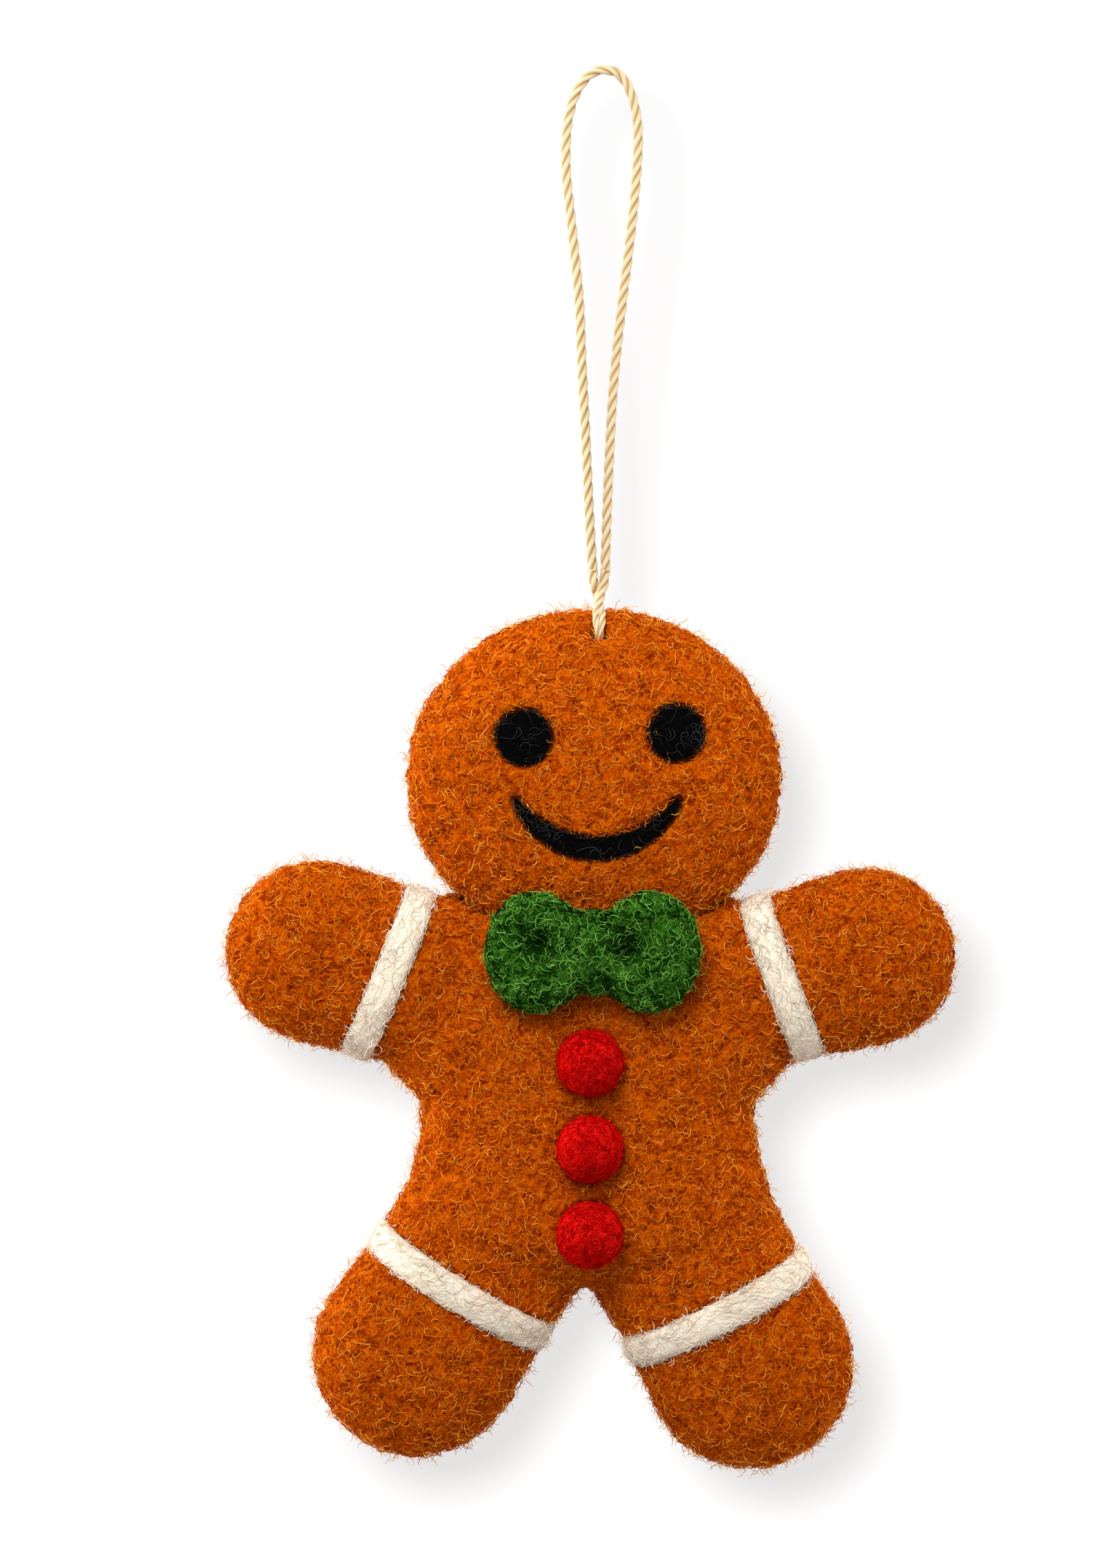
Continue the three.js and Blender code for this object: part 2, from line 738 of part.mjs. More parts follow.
// Cord loop: a route chosen by hand, as x and z from the inside of the loop's top, between its two feet
const loopFoot = (side) =>
  fold
    .clone()
    .add(figure.position)
    .add(new THREE.Vector3(side * footSpread, 0, neckLength + clearance));
const loopRoute = [
  [-2.12, -66.1],
  [-2.55, -57.5],
  [-2.95, -49],
  [-3.35, -41.5],
  [-3.7, -33],
  [-4.3, -26.5],
  [-5, -20],
  [-5.58, -14.2],
  [-5.62, -9.6],
  [-5.2, -5.8],
  [-4.3, -2.9],
  [-3, -0.75],
  [-1.5, 0.45],
  [0.1, 0.75],
  [1.75, 0.3],
  [3.1, -1.2],
  [4.15, -3.8],
  [4.75, -7.4],
  [4.78, -11.2],
  [4.35, -17.2],
  [3.6, -24.3],
  [2.62, -32.2],
  [1.75, -39.6],
  [1.1, -47.2],
  [0.68, -55],
  [0.36, -62.5],
].map(([x, z]) => new THREE.Vector3(x, 0, z));
const loopCurve = new THREE.CatmullRomCurve3(
  [loopFoot(-1), ...loopRoute, loopFoot(1)],
  false,
  "centripetal",
);
const cordSection = new THREE.Shape(
  Array.from({ length: cordSides }, (_, k) => {
    const turn = (2 * Math.PI * (k + 0.5)) / cordSides;
    return new THREE.Vector2(Math.cos(turn), Math.sin(turn)).multiplyScalar(strandRadius);
  }),
);
const loopGeometry = new THREE.ExtrudeGeometry(cordSection, {
  steps: loopSteps,
  extrudePath: loopCurve,
  bevelEnabled: false,
});
add("cord_loop", solidOf(loopGeometry), "cord", ornament);

export default ornament;
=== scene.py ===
"""A felted gingerbread ornament on a twisted cord loop, dressed over its fixed frame."""

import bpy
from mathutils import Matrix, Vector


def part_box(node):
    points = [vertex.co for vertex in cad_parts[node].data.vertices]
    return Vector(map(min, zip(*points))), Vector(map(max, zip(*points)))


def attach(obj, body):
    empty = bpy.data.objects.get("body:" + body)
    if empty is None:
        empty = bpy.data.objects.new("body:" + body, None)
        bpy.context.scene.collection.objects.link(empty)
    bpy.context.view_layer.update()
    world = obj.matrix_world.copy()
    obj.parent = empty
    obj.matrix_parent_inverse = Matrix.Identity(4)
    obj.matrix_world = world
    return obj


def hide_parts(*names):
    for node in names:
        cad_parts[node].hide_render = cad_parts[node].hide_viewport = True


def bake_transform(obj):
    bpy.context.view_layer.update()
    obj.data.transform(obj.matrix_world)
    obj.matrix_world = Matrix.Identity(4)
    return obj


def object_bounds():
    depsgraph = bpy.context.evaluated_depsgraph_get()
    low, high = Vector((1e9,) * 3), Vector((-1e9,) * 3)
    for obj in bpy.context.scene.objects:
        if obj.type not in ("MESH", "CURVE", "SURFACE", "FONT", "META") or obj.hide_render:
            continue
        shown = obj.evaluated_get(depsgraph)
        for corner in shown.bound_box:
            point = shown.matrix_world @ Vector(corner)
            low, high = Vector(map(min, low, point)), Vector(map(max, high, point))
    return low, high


bl_info = {
    "name": "Felt gingerbread ornament",
    "version": (1, 0, 0),
    "blender": (4, 5, 0),
    "location": "3D View > Sidebar > Felt ornament",
    "description": "Builds the felted figure, its cord and its studio round the loaded frame",
    "category": "Object",
}

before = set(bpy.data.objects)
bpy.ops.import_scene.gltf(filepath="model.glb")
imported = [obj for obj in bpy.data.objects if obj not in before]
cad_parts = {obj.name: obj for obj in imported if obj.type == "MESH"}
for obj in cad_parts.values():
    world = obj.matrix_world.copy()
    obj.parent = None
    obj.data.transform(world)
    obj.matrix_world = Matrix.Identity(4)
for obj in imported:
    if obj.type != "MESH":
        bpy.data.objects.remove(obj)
CAD_LOW, CAD_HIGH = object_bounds()

import math
import random

import bmesh
import bpy
import numpy as np
from bpy.props import FloatProperty, FloatVectorProperty, IntProperty, PointerProperty
from bpy.types import Operator, Panel, PropertyGroup
from mathutils import Vector
from mathutils.bvhtree import BVHTree

MM = 0.001
FIGURE, NECK, LOOP = "figure", "neck", "loop"
LIMBS = ("arm_left", "arm_right", "leg_left", "leg_right")
BANDS = ("arm_band_left", "arm_band_right", "leg_band_left", "leg_band_right")
BUTTONS = ("button_top", "button_middle", "button_bottom")
FACE = ("eye_left", "eye_right", "smile")
TOWARDS_BACK = Vector((0, 1, 0))


# Properties


def amount(name, description, default, least=0, **more):
    """A number from the least up that a user can change."""
    return FloatProperty(name=name, description=description, default=default, min=least, **more)


def length(name, description, default, least=0):
    """A size or a place in metres that a user can change."""
    return amount(name, description, default, least, unit="LENGTH", precision=5)


def colour(name, description, default):
    """A linear colour that a user can change."""
    return FloatVectorProperty(
        name=name, description=description, default=default, size=3, min=0, max=1, subtype="COLOR"
    )


class CordSettings(PropertyGroup):
    """Sizes and colours of the twisted cord."""

    diameter: length("Diameter", "Across the twisted cord", 1.5 * MM)
    lay: length("Lay", "Length of cord in which a strand turns once", 6.6 * MM)
    strand_share: amount("Strand share", "A strand's diameter as a share of the cord's", 0.54, 0.4, max=0.8)
    ring_step: length("Ring step", "Between the rings of the cord's skin", 0.34 * MM)
    cream: colour("Cream", "The tops of the strands", (0.79, 0.65, 0.42))
    # Painted shade: the tan darkens the hollows between the strands, where shade falls
    tan: colour("Tan", "The hollows between the strands", (0.46, 0.28, 0.10))


class FeltSettings(PropertyGroup):
    """Sizes of the felted wool and its curled fibres."""

    grain: length("Grain", "Edge of the felt's own mesh", 0.5 * MM)
    lump_size: length("Lump size", "Across the soft lumps of the felt", 5 * MM)
    lump_depth: length("Lump depth", "Depth of the soft lumps", 0.5 * MM)
    curl_size: length("Curl size", "Across the matted curls of the felt", 1.5 * MM)
    curl_depth: length("Curl depth", "Depth of the matted curls", 0.42 * MM)
    strand_length: length("Strand length", "Of a matted fibre", 3.5 * MM)
    strand_radius: length("Strand radius", "Of a matted fibre", 0.08 * MM)
    strands: amount("Strands", "Matted fibres of each tint on a square metre", 290000)
    fuzz_length: length("Fuzz length", "Of a loose hair", 2.3 * MM)
    fuzz_radius: length("Fuzz radius", "Of a loose hair", 0.042 * MM)
    fuzz: amount("Fuzz", "Loose hairs of each tint on a square metre", 390000)
    seed: IntProperty(name="Seed", description="Of everything random in the wool", default=7)


class FeltColours(PropertyGroup):
    """Colours of the wools."""

    # Painted light: each wool's deep tint is partly painted shade, for its pits and the gaps between its
    # fibres, and its light tint partly painted highlight, for fibres that catch the light; its plain tint
    # is its own colour
    ginger_deep: colour("Ginger, deep", "The pits of the gingerbread wool", (0.14, 0.010, 0.0002))
    ginger: colour("Ginger", "The gingerbread wool", (0.385, 0.039, 0.0003))
    ginger_light: colour("Ginger, light", "The raised curls of the gingerbread wool", (0.67, 0.127, 0.001))
    ginger_gold: colour("Ginger, gold", "Stray golden fibres", (0.95, 0.37, 0.03))
    # Painted highlight: the pale tint stands in for the glow of backlit fuzz along the outline and pale
    # glints on the front
    ginger_pale_highlight: colour("Ginger, pale", "Fine hairs that stand off the gingerbread", (1.0, 0.51, 0.055))
    black: colour("Black", "The eyes and the smile", (0.0012, 0.0012, 0.0012))
    black_light: colour("Black, light", "Fibres of the face that catch the light", (0.05, 0.05, 0.048))
    white: colour("White", "The roving bands", (1.0, 0.91, 0.77))
    white_deep: colour("White, deep", "Between the fibres of the roving", (0.97, 0.76, 0.56))
    # Painted shade: the deep green darkens the bow's hollows and the gaps between its fibres
    green_deep: colour("Green, deep", "The hollows of the bow", (0.002, 0.014, 0.0006))
    green: colour("Green", "The bow's wool", (0.012, 0.074, 0.002))
    green_light: colour("Green, light", "The bow's raised curls", (0.20, 0.52, 0.07))
    red_deep: colour("Red, deep", "Between the fibres of the buttons", (0.17, 0.0005, 0.0005))
    red: colour("Red", "The buttons' wool", (0.55, 0.0008, 0.0006))
    red_light: colour("Red, light", "Fibres of the buttons that catch the light", (0.85, 0.012, 0.008))


class StageSettings(PropertyGroup):
    """The camera, the lamps and the backdrop."""

    lens: amount("Lens", "Focal length in millimetres", 200, 20)
    view_height: length("View height", "Height of the picture, measured at the figure", 227.4 * MM)
    view_x: length("View X", "Middle of the picture", -6.5 * MM, -1)
    view_z: length("View Z", "Middle of the picture", -102.7 * MM, -1)
    key: amount("Key", "Strength of the broad light from the upper left", 0.97)
    left: amount("Left", "Strength of the rim light from the left", 3.2)
    right: amount("Right", "Strength of the rim light from the right", 1.15)
    top_power: amount("Top power", "Of the lamp over the head", 0.33, unit="POWER")
    fill: amount("Fill", "Strength of the light from all round", 0.43)
    backdrop_power: amount("Backdrop power", "Of the lamp for the backdrop alone", 40, unit="POWER")
    backdrop_distance: length("Backdrop distance", "From the figure to the pale backdrop", 135 * MM)
    floor_drop: length("Floor drop", "From the feet down to the pale floor", 33 * MM)


# Node trees


def feed(node, inputs):
    """Links or sets a node's inputs."""
    for name, value in inputs.items():
        socket = node.inputs[name]
        if isinstance(value, bpy.types.NodeSocket):
            node.id_data.links.new(value, socket)
        else:
            socket.default_value = value


def put(tree, kind, inputs=(), **settings):
    """Adds a node, applies its settings, then feeds its inputs."""
    made = tree.nodes.new(kind)
    for name, value in settings.items():
        setattr(made, name, value)
    feed(made, dict(inputs))
    return made


def maths(tree, operation, *values, **settings):
    """The result of a Math node on these values."""
    return put(
        tree, "ShaderNodeMath", dict(enumerate(values)), operation=operation, **settings
    ).outputs[0]


def noise(tree, place, scale, detail=3.0, roughness=0.6, distortion=0.0):
    """The value of a Noise texture at this place."""
    grain = {"Detail": detail, "Roughness": roughness, "Distortion": distortion}
    return put(tree, "ShaderNodeTexNoise", {"Vector": place, "Scale": scale, **grain}).outputs[0]


def mixed(tree, factor, start, end):
    """The colour that far from start to end. Each is a socket, or a colour with its alpha."""
    return put(
        tree, "ShaderNodeMix", {"Factor": factor, 6: start, 7: end}, data_type="RGBA"
    ).outputs[2]


def moved(tree, geometry, normal, height):
    """The geometry, moved along its normals by a height."""
    push = put(tree, "ShaderNodeVectorMath", {0: normal, "Scale": height}, operation="SCALE")
    return put(
        tree, "GeometryNodeSetPosition", {"Geometry": geometry, "Offset": push.outputs[0]}
    ).outputs[0]


def geometry_tree(name, inputs, filled):
    """The geometry tree of this name. On its first use, filled adds its nodes and returns their result."""
    if name in bpy.data.node_groups:
        return bpy.data.node_groups[name]
    tree = bpy.data.node_groups.new(name, "GeometryNodeTree")
    sockets = tree.interface
    for label, kind in {"Geometry": "Geometry", **inputs}.items():
        sockets.new_socket(label, in_out="INPUT", socket_type="NodeSocket" + kind)
    sockets.new_socket("Geometry", in_out="OUTPUT", socket_type="NodeSocketGeometry")
    given = put(tree, "NodeGroupInput").outputs
    put(tree, "NodeGroupOutput", {"Geometry": filled(tree, given)})
    return tree


def with_tree(thing, tree, values):
    """Adds the tree to an object as a modifier, with the named inputs set."""
    modifier = thing.modifiers.new(tree.name, "NODES")
    modifier.node_group = tree
    for name, value in values.items():
        modifier[tree.interface.items_tree[name].identifier] = value


RELIEF_INPUTS = dict.fromkeys(("Lump size", "Lump depth", "Curl size", "Curl depth", "Inset"), "Float")


def relief_nodes(tree, given):
    """Pushes a surface in and out along its normals by lumps and by finer curls, and in by an inset."""
    place = put(tree, "GeometryNodeInputPosition").outputs["Position"]
    normal = put(tree, "GeometryNodeInputNormal").outputs["Normal"]
    heights = []
    for kind in ("Lump", "Curl"):
        per_metre = maths(tree, "DIVIDE", 1.0, given[kind + " size"])
        value = noise(tree, place, per_metre, detail=1.0, roughness=0.5)
        centred = maths(tree, "SUBTRACT", value, 0.5)
        heights.append(maths(tree, "MULTIPLY", centred, given[kind + " depth"]))
    height = maths(tree, "SUBTRACT", maths(tree, "ADD", *heights), given["Inset"])
    return moved(tree, given["Geometry"], normal, height)


STRAND_INPUTS = {
    "Strands": "Collection", "Keep off": "Object", "Finish": "Material", "Axis": "Vector", "Seed": "Int",
    **dict.fromkeys(("Clearance", "Density", "Spin", "Lowest", "Highest"), "Float"),
    **dict.fromkeys(("Least scale", "Most scale", "Least tilt", "Most tilt"), "Float"),
}


def strand_nodes(tree, given):
    """Scatters a set of strands over a surface, as one plain mesh of one finish."""

    def drawn(least, most, offset):
        seed = maths(tree, "ADD", given["Seed"], offset)
        return put(tree, "FunctionNodeRandomValue", {2: least, 3: most, "Seed": seed}).outputs[1]

    covers = put(tree, "GeometryNodeObjectInfo", {"Object": given["Keep off"]})
    near = put(tree, "GeometryNodeProximity", {"Geometry": covers.outputs["Geometry"]})
    clear = maths(tree, "GREATER_THAN", near.outputs["Distance"], given["Clearance"])
    points = put(
        tree, "GeometryNodeDistributePointsOnFaces",
        {"Mesh": given["Geometry"], "Selection": clear, "Density": given["Density"], "Seed": given["Seed"]},
    ).outputs
    normal = points["Normal"]
    rise = drawn(given["Lowest"], given["Highest"], 1.0)
    lifted = moved(tree, points["Points"], normal, rise)
    across = put(tree, "ShaderNodeVectorMath", {0: given["Axis"], 1: normal}, operation="CROSS_PRODUCT")
    turned = put(
        tree, "FunctionNodeAxesToRotation",
        {"Primary Axis": normal, "Secondary Axis": across.outputs[0]},
        primary_axis="Z", secondary_axis="X",
    ).outputs[0]
    least_spin = maths(tree, "MULTIPLY", given["Spin"], -1.0)
    spin = put(tree, "ShaderNodeCombineXYZ", {"Z": drawn(least_spin, given["Spin"], 2.0)})
    tilt = put(tree, "ShaderNodeCombineXYZ", {"Y": drawn(given["Least tilt"], given["Most tilt"], 3.0)})
    for euler in (spin, tilt):
        by = put(tree, "FunctionNodeEulerToRotation", {"Euler": euler.outputs[0]})
        turned = put(
            tree, "FunctionNodeRotateRotation", {"Rotation": turned, "Rotate By": by.outputs[0]},
            rotation_space="LOCAL",
        ).outputs[0]
    shapes = put(
        tree, "GeometryNodeCollectionInfo",
        {"Collection": given["Strands"], "Separate Children": True, "Reset Children": True},
    )
    copies = put(
        tree, "GeometryNodeInstanceOnPoints",
        {
            "Points": lifted,
            "Instance": shapes.outputs[0],
            "Pick Instance": True,
            "Rotation": turned,
            "Scale": drawn(given["Least scale"], given["Most scale"], 4.0),
        },
    )
    plain = put(tree, "GeometryNodeRealizeInstances", {"Geometry": copies.outputs[0]})
    return put(
        tree, "GeometryNodeSetMaterial", {"Geometry": plain.outputs[0], "Material": given["Finish"]}
    ).outputs[0]


# Meshes

# Points of a frame mesh that are closer than this are one point
MERGE_REACH = 1e-6


def shown(name, mesh):
    """A new object in the scene, at the origin."""
    made = bpy.data.objects.new(name, mesh)
    bpy.context.scene.collection.objects.link(made)
    return made


def smooth(mesh):
    """Shades the whole mesh smooth."""
    mesh.polygons.foreach_set("use_smooth", [True] * len(mesh.polygons))


def evaluated(thing):
    """The object's mesh with its modifiers applied, as a new mesh."""
    graph = bpy.context.evaluated_depsgraph_get()
    return bpy.data.meshes.new_from_object(thing.evaluated_get(graph))


def as_mesh(name, made):
    """The bmesh as a new mesh. The bmesh is freed."""
    mesh = bpy.data.meshes.new(name)
    made.to_mesh(mesh)
    made.free()
    return mesh


def joined(name, meshes, merge=0.0):
    """One mesh of copies of these meshes. Points closer than merge become one."""
    made = bmesh.new()
    for mesh in meshes:
        made.from_mesh(mesh)
    if merge:
        bmesh.ops.remove_doubles(made, verts=made.verts, dist=merge)
    return as_mesh(name, made)


def copied(name, nodes):
    """One mesh of merged copies of the frame's nodes."""
    return joined(name, [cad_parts[node].data for node in nodes], MERGE_REACH)


def middle_of(node):
    """The middle of a frame node's box."""
    low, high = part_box(node)
    return (low + high) / 2


def skin_of(mesh):
    """A search tree over the mesh's faces."""
    return BVHTree.FromPolygons(
        [vertex.co for vertex in mesh.vertices], [tuple(face.vertices) for face in mesh.polygons]
    )


def wool_settings():
    """The felt's sizes and the wools' colours."""
    return bpy.context.scene.ornament_felt, bpy.context.scene.ornament_colours


def finished(piece, material=None, replaces=()):
    """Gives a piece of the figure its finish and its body."""
    if material:
        piece.data.materials.clear()
        piece.data.materials.append(material)
    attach(piece, FIGURE)
    if replaces:
        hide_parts(*replaces)


def felted(name, nodes, material, grain, rounds, lump, curl, inset):
    """A felt piece that replaces these nodes. lump and curl are each a size and a depth."""
    made = shown(name, copied("copied", nodes))
    remesh = made.modifiers.new("Grain", "REMESH")
    remesh.mode = "VOXEL"
    remesh.voxel_size = grain
    soften = made.modifiers.new("Soften", "SMOOTH")
    soften.factor = 0.5
    soften.iterations = rounds
    sizes = dict(zip(RELIEF_INPUTS, (*lump, *curl, inset)))
    with_tree(made, geometry_tree("Felt relief", RELIEF_INPUTS, relief_nodes), sizes)
    mesh = evaluated(made)
    made.modifiers.clear()
    made.data = mesh
    mesh.name = name
    smooth(mesh)
    finished(made, material, nodes)
    return made


def paint_shade_near(piece, centres, reach):
    """Writes how near each point is to a centre, 1 at the centre, as the shade attribute: painted shade
    that darkens the material there.
    """
    places = np.array([tuple(v.co) for v in piece.data.vertices])
    gaps = [np.linalg.norm(places - np.array(centre), axis=1) for centre in centres]
    shade = np.exp(-((np.min(gaps, axis=0) / reach) ** 2))
    layer = piece.data.attributes.new("shade", "FLOAT", "POINT")
    layer.data.foreach_set("value", shade.astype(np.float32))


def facing(whole, axis, least, most):
    """A copy of the mesh with only the faces turned this far towards the axis, either way."""
    kept = bmesh.new()
    kept.from_mesh(whole)
    away = [face for face in kept.faces if not least < abs(face.normal.dot(axis)) < most]
    bmesh.ops.delete(kept, geom=away, context="FACES")
    return as_mesh(whole.name + " edges", kept)


def dots(name, centres, radius):
    """A mesh of small balls about these centres."""
    made = bmesh.new()
    for centre in centres:
        ball = bmesh.ops.create_icosphere(made, subdivisions=1, radius=radius)["verts"]
        bmesh.ops.translate(made, verts=ball, vec=centre)
    return as_mesh(name, made)


def strand_line(rng, reach, points, turn, arch, dip):
    """A curled line about the origin. It lies along X, its middle arched and its ends dipped."""
    bend = rng.choice((-1, 1)) * rng.uniform(0.5, 1) * turn
    wave = rng.uniform(-turn, turn) / 2
    phase = rng.uniform(0, math.tau)
    ripple = 0.3 * arch
    place = np.zeros(2)
    line = []
    for i in range(points):
        share = i / (points - 1)
        heading = bend * (share - 0.5) + wave * math.sin(math.tau * share + phase)
        height = arch * math.sin(math.pi * share) + ripple * math.sin(2 * math.tau * share + phase)
        line.append((place[0], place[1], height - dip * abs(2 * share - 1) ** 3))
        place = place + reach / (points - 1) * np.array([math.cos(heading), math.sin(heading)])
    line = np.array(line)
    line[:, :2] -= line[:, :2].mean(axis=0)
    return line


def hair_line(rng, reach):
    """A line that starts at the origin and grows along X with a curl."""
    line = strand_line(rng, reach, points=6, turn=3.2, arch=0.12 * reach, dip=0)
    return line - line[0]


def spindle(line, radius, sides=3, taper=0.4):
    """A closed thread along the line, fine at both ends."""
    along = np.gradient(line, axis=0)
    along /= np.linalg.norm(along, axis=1, keepdims=True)
    side = np.cross(along, (0, 0, 1))
    side /= np.linalg.norm(side, axis=1, keepdims=True)
    up = np.cross(side, along)
    inner = range(1, len(line) - 1)
    places = [line[0]]
    for i in inner:
        thick = radius * math.sin(math.pi * i / (len(line) - 1)) ** taper
        for k in range(sides):
            turn = math.tau * k / sides
            places.append(line[i] + thick * (math.cos(turn) * side[i] + math.sin(turn) * up[i]))
    places.append(line[-1])
    last = len(places) - 1
    faces = []
    for k in range(sides):
        after = (k + 1) % sides
        faces.append((0, 1 + k, 1 + after))
        faces.append((last, last - sides + after, last - sides + k))
        for i in range(len(inner) - 1):
            low = 1 + i * sides
            faces.append((low + k, low + sides + k, low + sides + after, low + after))
    return places, faces


def strand_set(name, lines, radius):
    """A collection outside the scene, with one thread for each line."""
    kept = bpy.data.collections.new(name)
    for i, line in enumerate(lines):
        places, faces = spindle(line, radius)
        mesh = bpy.data.meshes.new(f"{name}_{i}")
        mesh.from_pydata([tuple(place) for place in places], [], faces)
        kept.objects.link(bpy.data.objects.new(mesh.name, mesh))
    return kept


def curl_set(name, seed, count, radius, reach, unit=MM, **shape):
    """A set of curls. reach is their length in units, or its least and its most."""
    rng = random.Random(seed)
    lines = []
    for _ in range(count):
        share = rng.uniform(*reach) if isinstance(reach, tuple) else reach
        lines.append(strand_line(rng, share * unit, **shape))
    return strand_set(name, lines, radius)


def scattered(name, base, slot, strands, material, density, seed, **choice):
    """A piece of the figure: strands scattered over the base mesh. choice sets the tree's other inputs."""
    values = {
        "Clearance": -1.0,
        "Lowest": 0.0,
        "Highest": 0.0,
        "Least scale": 0.7,
        "Most scale": 1.15,
        "Least tilt": 0.0,
        "Most tilt": 0.0,
        "Spin": math.pi,
        "Axis": (0.31, 0.53, 0.79),
        **{key.replace("_", " ").capitalize(): value for key, value in choice.items()},
        "Strands": strands,
        "Density": density,
        "Seed": seed,
        "Finish": material,
    }
    ground = shown(name, base)
    with_tree(ground, geometry_tree("Felt strands", STRAND_INPUTS, strand_nodes), values)
    mesh = evaluated(ground)
    bpy.data.objects.remove(ground)
    finished(shown(name, mesh))


def matted(prefix, base, slot, wool, strands, tints, fibres, seed, **choice):
    """Matted fibres on the base mesh: a piece for each name, share of the tints and density in fibres."""
    for name, share, density in fibres:
        material = strand_material(f"{wool} wool fibres, {name}", tinted(*tints, share))
        scattered(
            f"{prefix}_fibres_{name}", base.copy(), slot, strands, material, density,
            seed + len(name), **choice,
        )


def loose_hairs(name, base, slot, tint, density, seed, thick=1.0, **choice):
    """Fine curled hairs that stand off the base mesh. thick is a share of the usual radius."""
    felt, _ = wool_settings()
    rng = random.Random(seed)
    lines = [hair_line(rng, felt.fuzz_length) for _ in range(12)]
    hairs = strand_set(name + " hairs", lines, felt.fuzz_radius * thick)
    material = strand_material(name + " wool", tint)
    standing = {"least_tilt": -1.2, "most_tilt": -0.15, "least_scale": 0.35, "most_scale": 1.2, **choice}
    scattered(name, base, slot, hairs, material, density, seed, **standing)


# Materials


def new_material(name):
    """A material with an empty tree but for its shader, and that tree."""
    made = bpy.data.materials.new(name)
    made.use_nodes = True
    return made, made.node_tree, made.node_tree.nodes["Principled BSDF"]


def between(start, end, share):
    """The colour that far from start to end."""
    return tuple(a + (b - a) * share for a, b in zip(start, end))


def tinted(deep, middle, light, share):
    """The middle colour, moved this share of the way to the light one, or below 0 to the deep one."""
    return between(middle, deep if share < 0 else light, abs(share))


def wool_shader(shader, roughness, sheen, tint):
    """The dull, slightly downy look of wool."""
    feed(shader, {"Roughness": roughness, "Specular IOR Level": 0.01})
    feed(shader, {"Sheen Weight": sheen, "Sheen Roughness": 0.5, "Sheen Tint": (*tint, 1)})


def raised(tree, shader, height, strength, distance):
    """Gives the shader a relief by this height."""
    bump = put(tree, "ShaderNodeBump", {"Height": height, "Strength": strength, "Distance": distance})
    feed(shader, {"Normal": bump.outputs[0]})


def fibre_lines(tree, place, size, offset, width=0.075):
    """Thin curled lines whose loops are about this size, 1 on a line and 0 off it."""
    shift = (offset, -offset, 2 * offset)
    apart = put(tree, "ShaderNodeVectorMath", {0: place, 1: shift}, operation="ADD")
    value = noise(tree, apart.outputs[0], 1 / size, detail=1.0, roughness=0.4, distortion=0.7)
    gap = maths(tree, "ABSOLUTE", maths(tree, "SUBTRACT", value, 0.5))
    line = put(
        tree, "ShaderNodeMapRange",
        {"Value": gap, "From Min": 0.0, "From Max": width, "To Min": 1.0, "To Max": 0.0},
        interpolation_type="SMOOTHSTEP",
    )
    return line.outputs[0]


# The layers of drawn fibres on felt, as shares of the way from the middle tint to the light one; the
# lighter, raised lines are partly painted highlight
FIBRE_LAYERS = (0.15, 0.45, 0.8, 1.0)
FIBRE_STRENGTH = 0.8
LAYER_OFFSET = 13 * MM


def felt_material(name, deep, middle, light, fibre_size, bump):
    """Matted wool: soft patches between two tints, with layers of thin curled fibres over them. The deep
    patches lie where the bump is low and the lighter lines are raised, so both are partly the wool's own
    tone and partly painted shade and painted highlight.

    A shade attribute, where the mesh has one, paints shade by darkening it towards the deep tint.
    """
    made, tree, shader = new_material(name)
    wool_shader(shader, roughness=0.92, sheen=0.25, tint=light)
    place = put(tree, "ShaderNodeTexCoord").outputs["Object"]
    soft = noise(tree, place, 0.8 / fibre_size)
    patches = put(tree, "ShaderNodeMapRange", {"Value": soft, "From Min": 0.38, "From Max": 0.62})
    tint = mixed(tree, patches.outputs[0], (*deep, 1), (*middle, 1))
    height = soft
    for i, share in enumerate(FIBRE_LAYERS):
        line = fibre_lines(tree, place, fibre_size * (1.25 - 0.15 * i), (i + 1) * LAYER_OFFSET)
        drawn = maths(tree, "MULTIPLY", line, FIBRE_STRENGTH)
        tint = mixed(tree, drawn, tint, (*between(middle, light, share), 1))
        height = maths(tree, "ADD", drawn, height)
    shade = put(tree, "ShaderNodeAttribute", attribute_name="shade").outputs["Fac"]
    feed(shader, {"Base Color": mixed(tree, shade, tint, (*deep, 1))})
    raised(tree, shader, height, bump, 0.08 * fibre_size)
    return made


def strand_material(name, tint):
    """One tint of wool fibre, the same all over so that every fibre keeps its colour."""
    if name in bpy.data.materials:
        return bpy.data.materials[name]
    made, _, shader = new_material(name)
    feed(shader, {"Base Color": (*tint, 1)})
    wool_shader(shader, roughness=0.8, sheen=0.2, tint=tint)
    return made


def soaked(material, weight):
    """Lets light soak a little way into pale wool."""
    shader = material.node_tree.nodes["Principled BSDF"]
    feed(shader, {"Subsurface Weight": weight, "Subsurface Scale": 0.8 * MM})
    feed(shader, {"Subsurface Radius": (1.0, 0.9, 0.8)})


def cord_material(cream, tan):
    """Cotton yarn: cream on the strands, darkened towards tan in the hollows between them as painted shade,
    with fine fibres along each strand.
    """
    made, tree, shader = new_material("twisted cotton cord")
    wool_shader(shader, roughness=0.75, sheen=0.15, tint=cream)
    # Painted shade: the hollow attribute, 1 deep in a groove, mixes the cream towards tan, with fibre
    # streaks on top
    hollow = put(tree, "ShaderNodeAttribute", attribute_name="hollow").outputs["Fac"]
    along = put(tree, "ShaderNodeUVMap", uv_map="yarn").outputs["UV"]
    spread = put(tree, "ShaderNodeMapping", {"Vector": along, "Scale": (60.0, 2.5, 1.0)})
    fibres = noise(tree, spread.outputs[0], 1.0)
    shade = maths(tree, "MULTIPLY_ADD", fibres, 0.35, -0.14)
    depth = maths(tree, "ADD", hollow, shade, use_clamp=True)
    feed(shader, {"Base Color": mixed(tree, depth, (*cream, 1), (*tan, 1))})
    raised(tree, shader, fibres, 0.5, 0.1 * MM)
    return made


# Cord

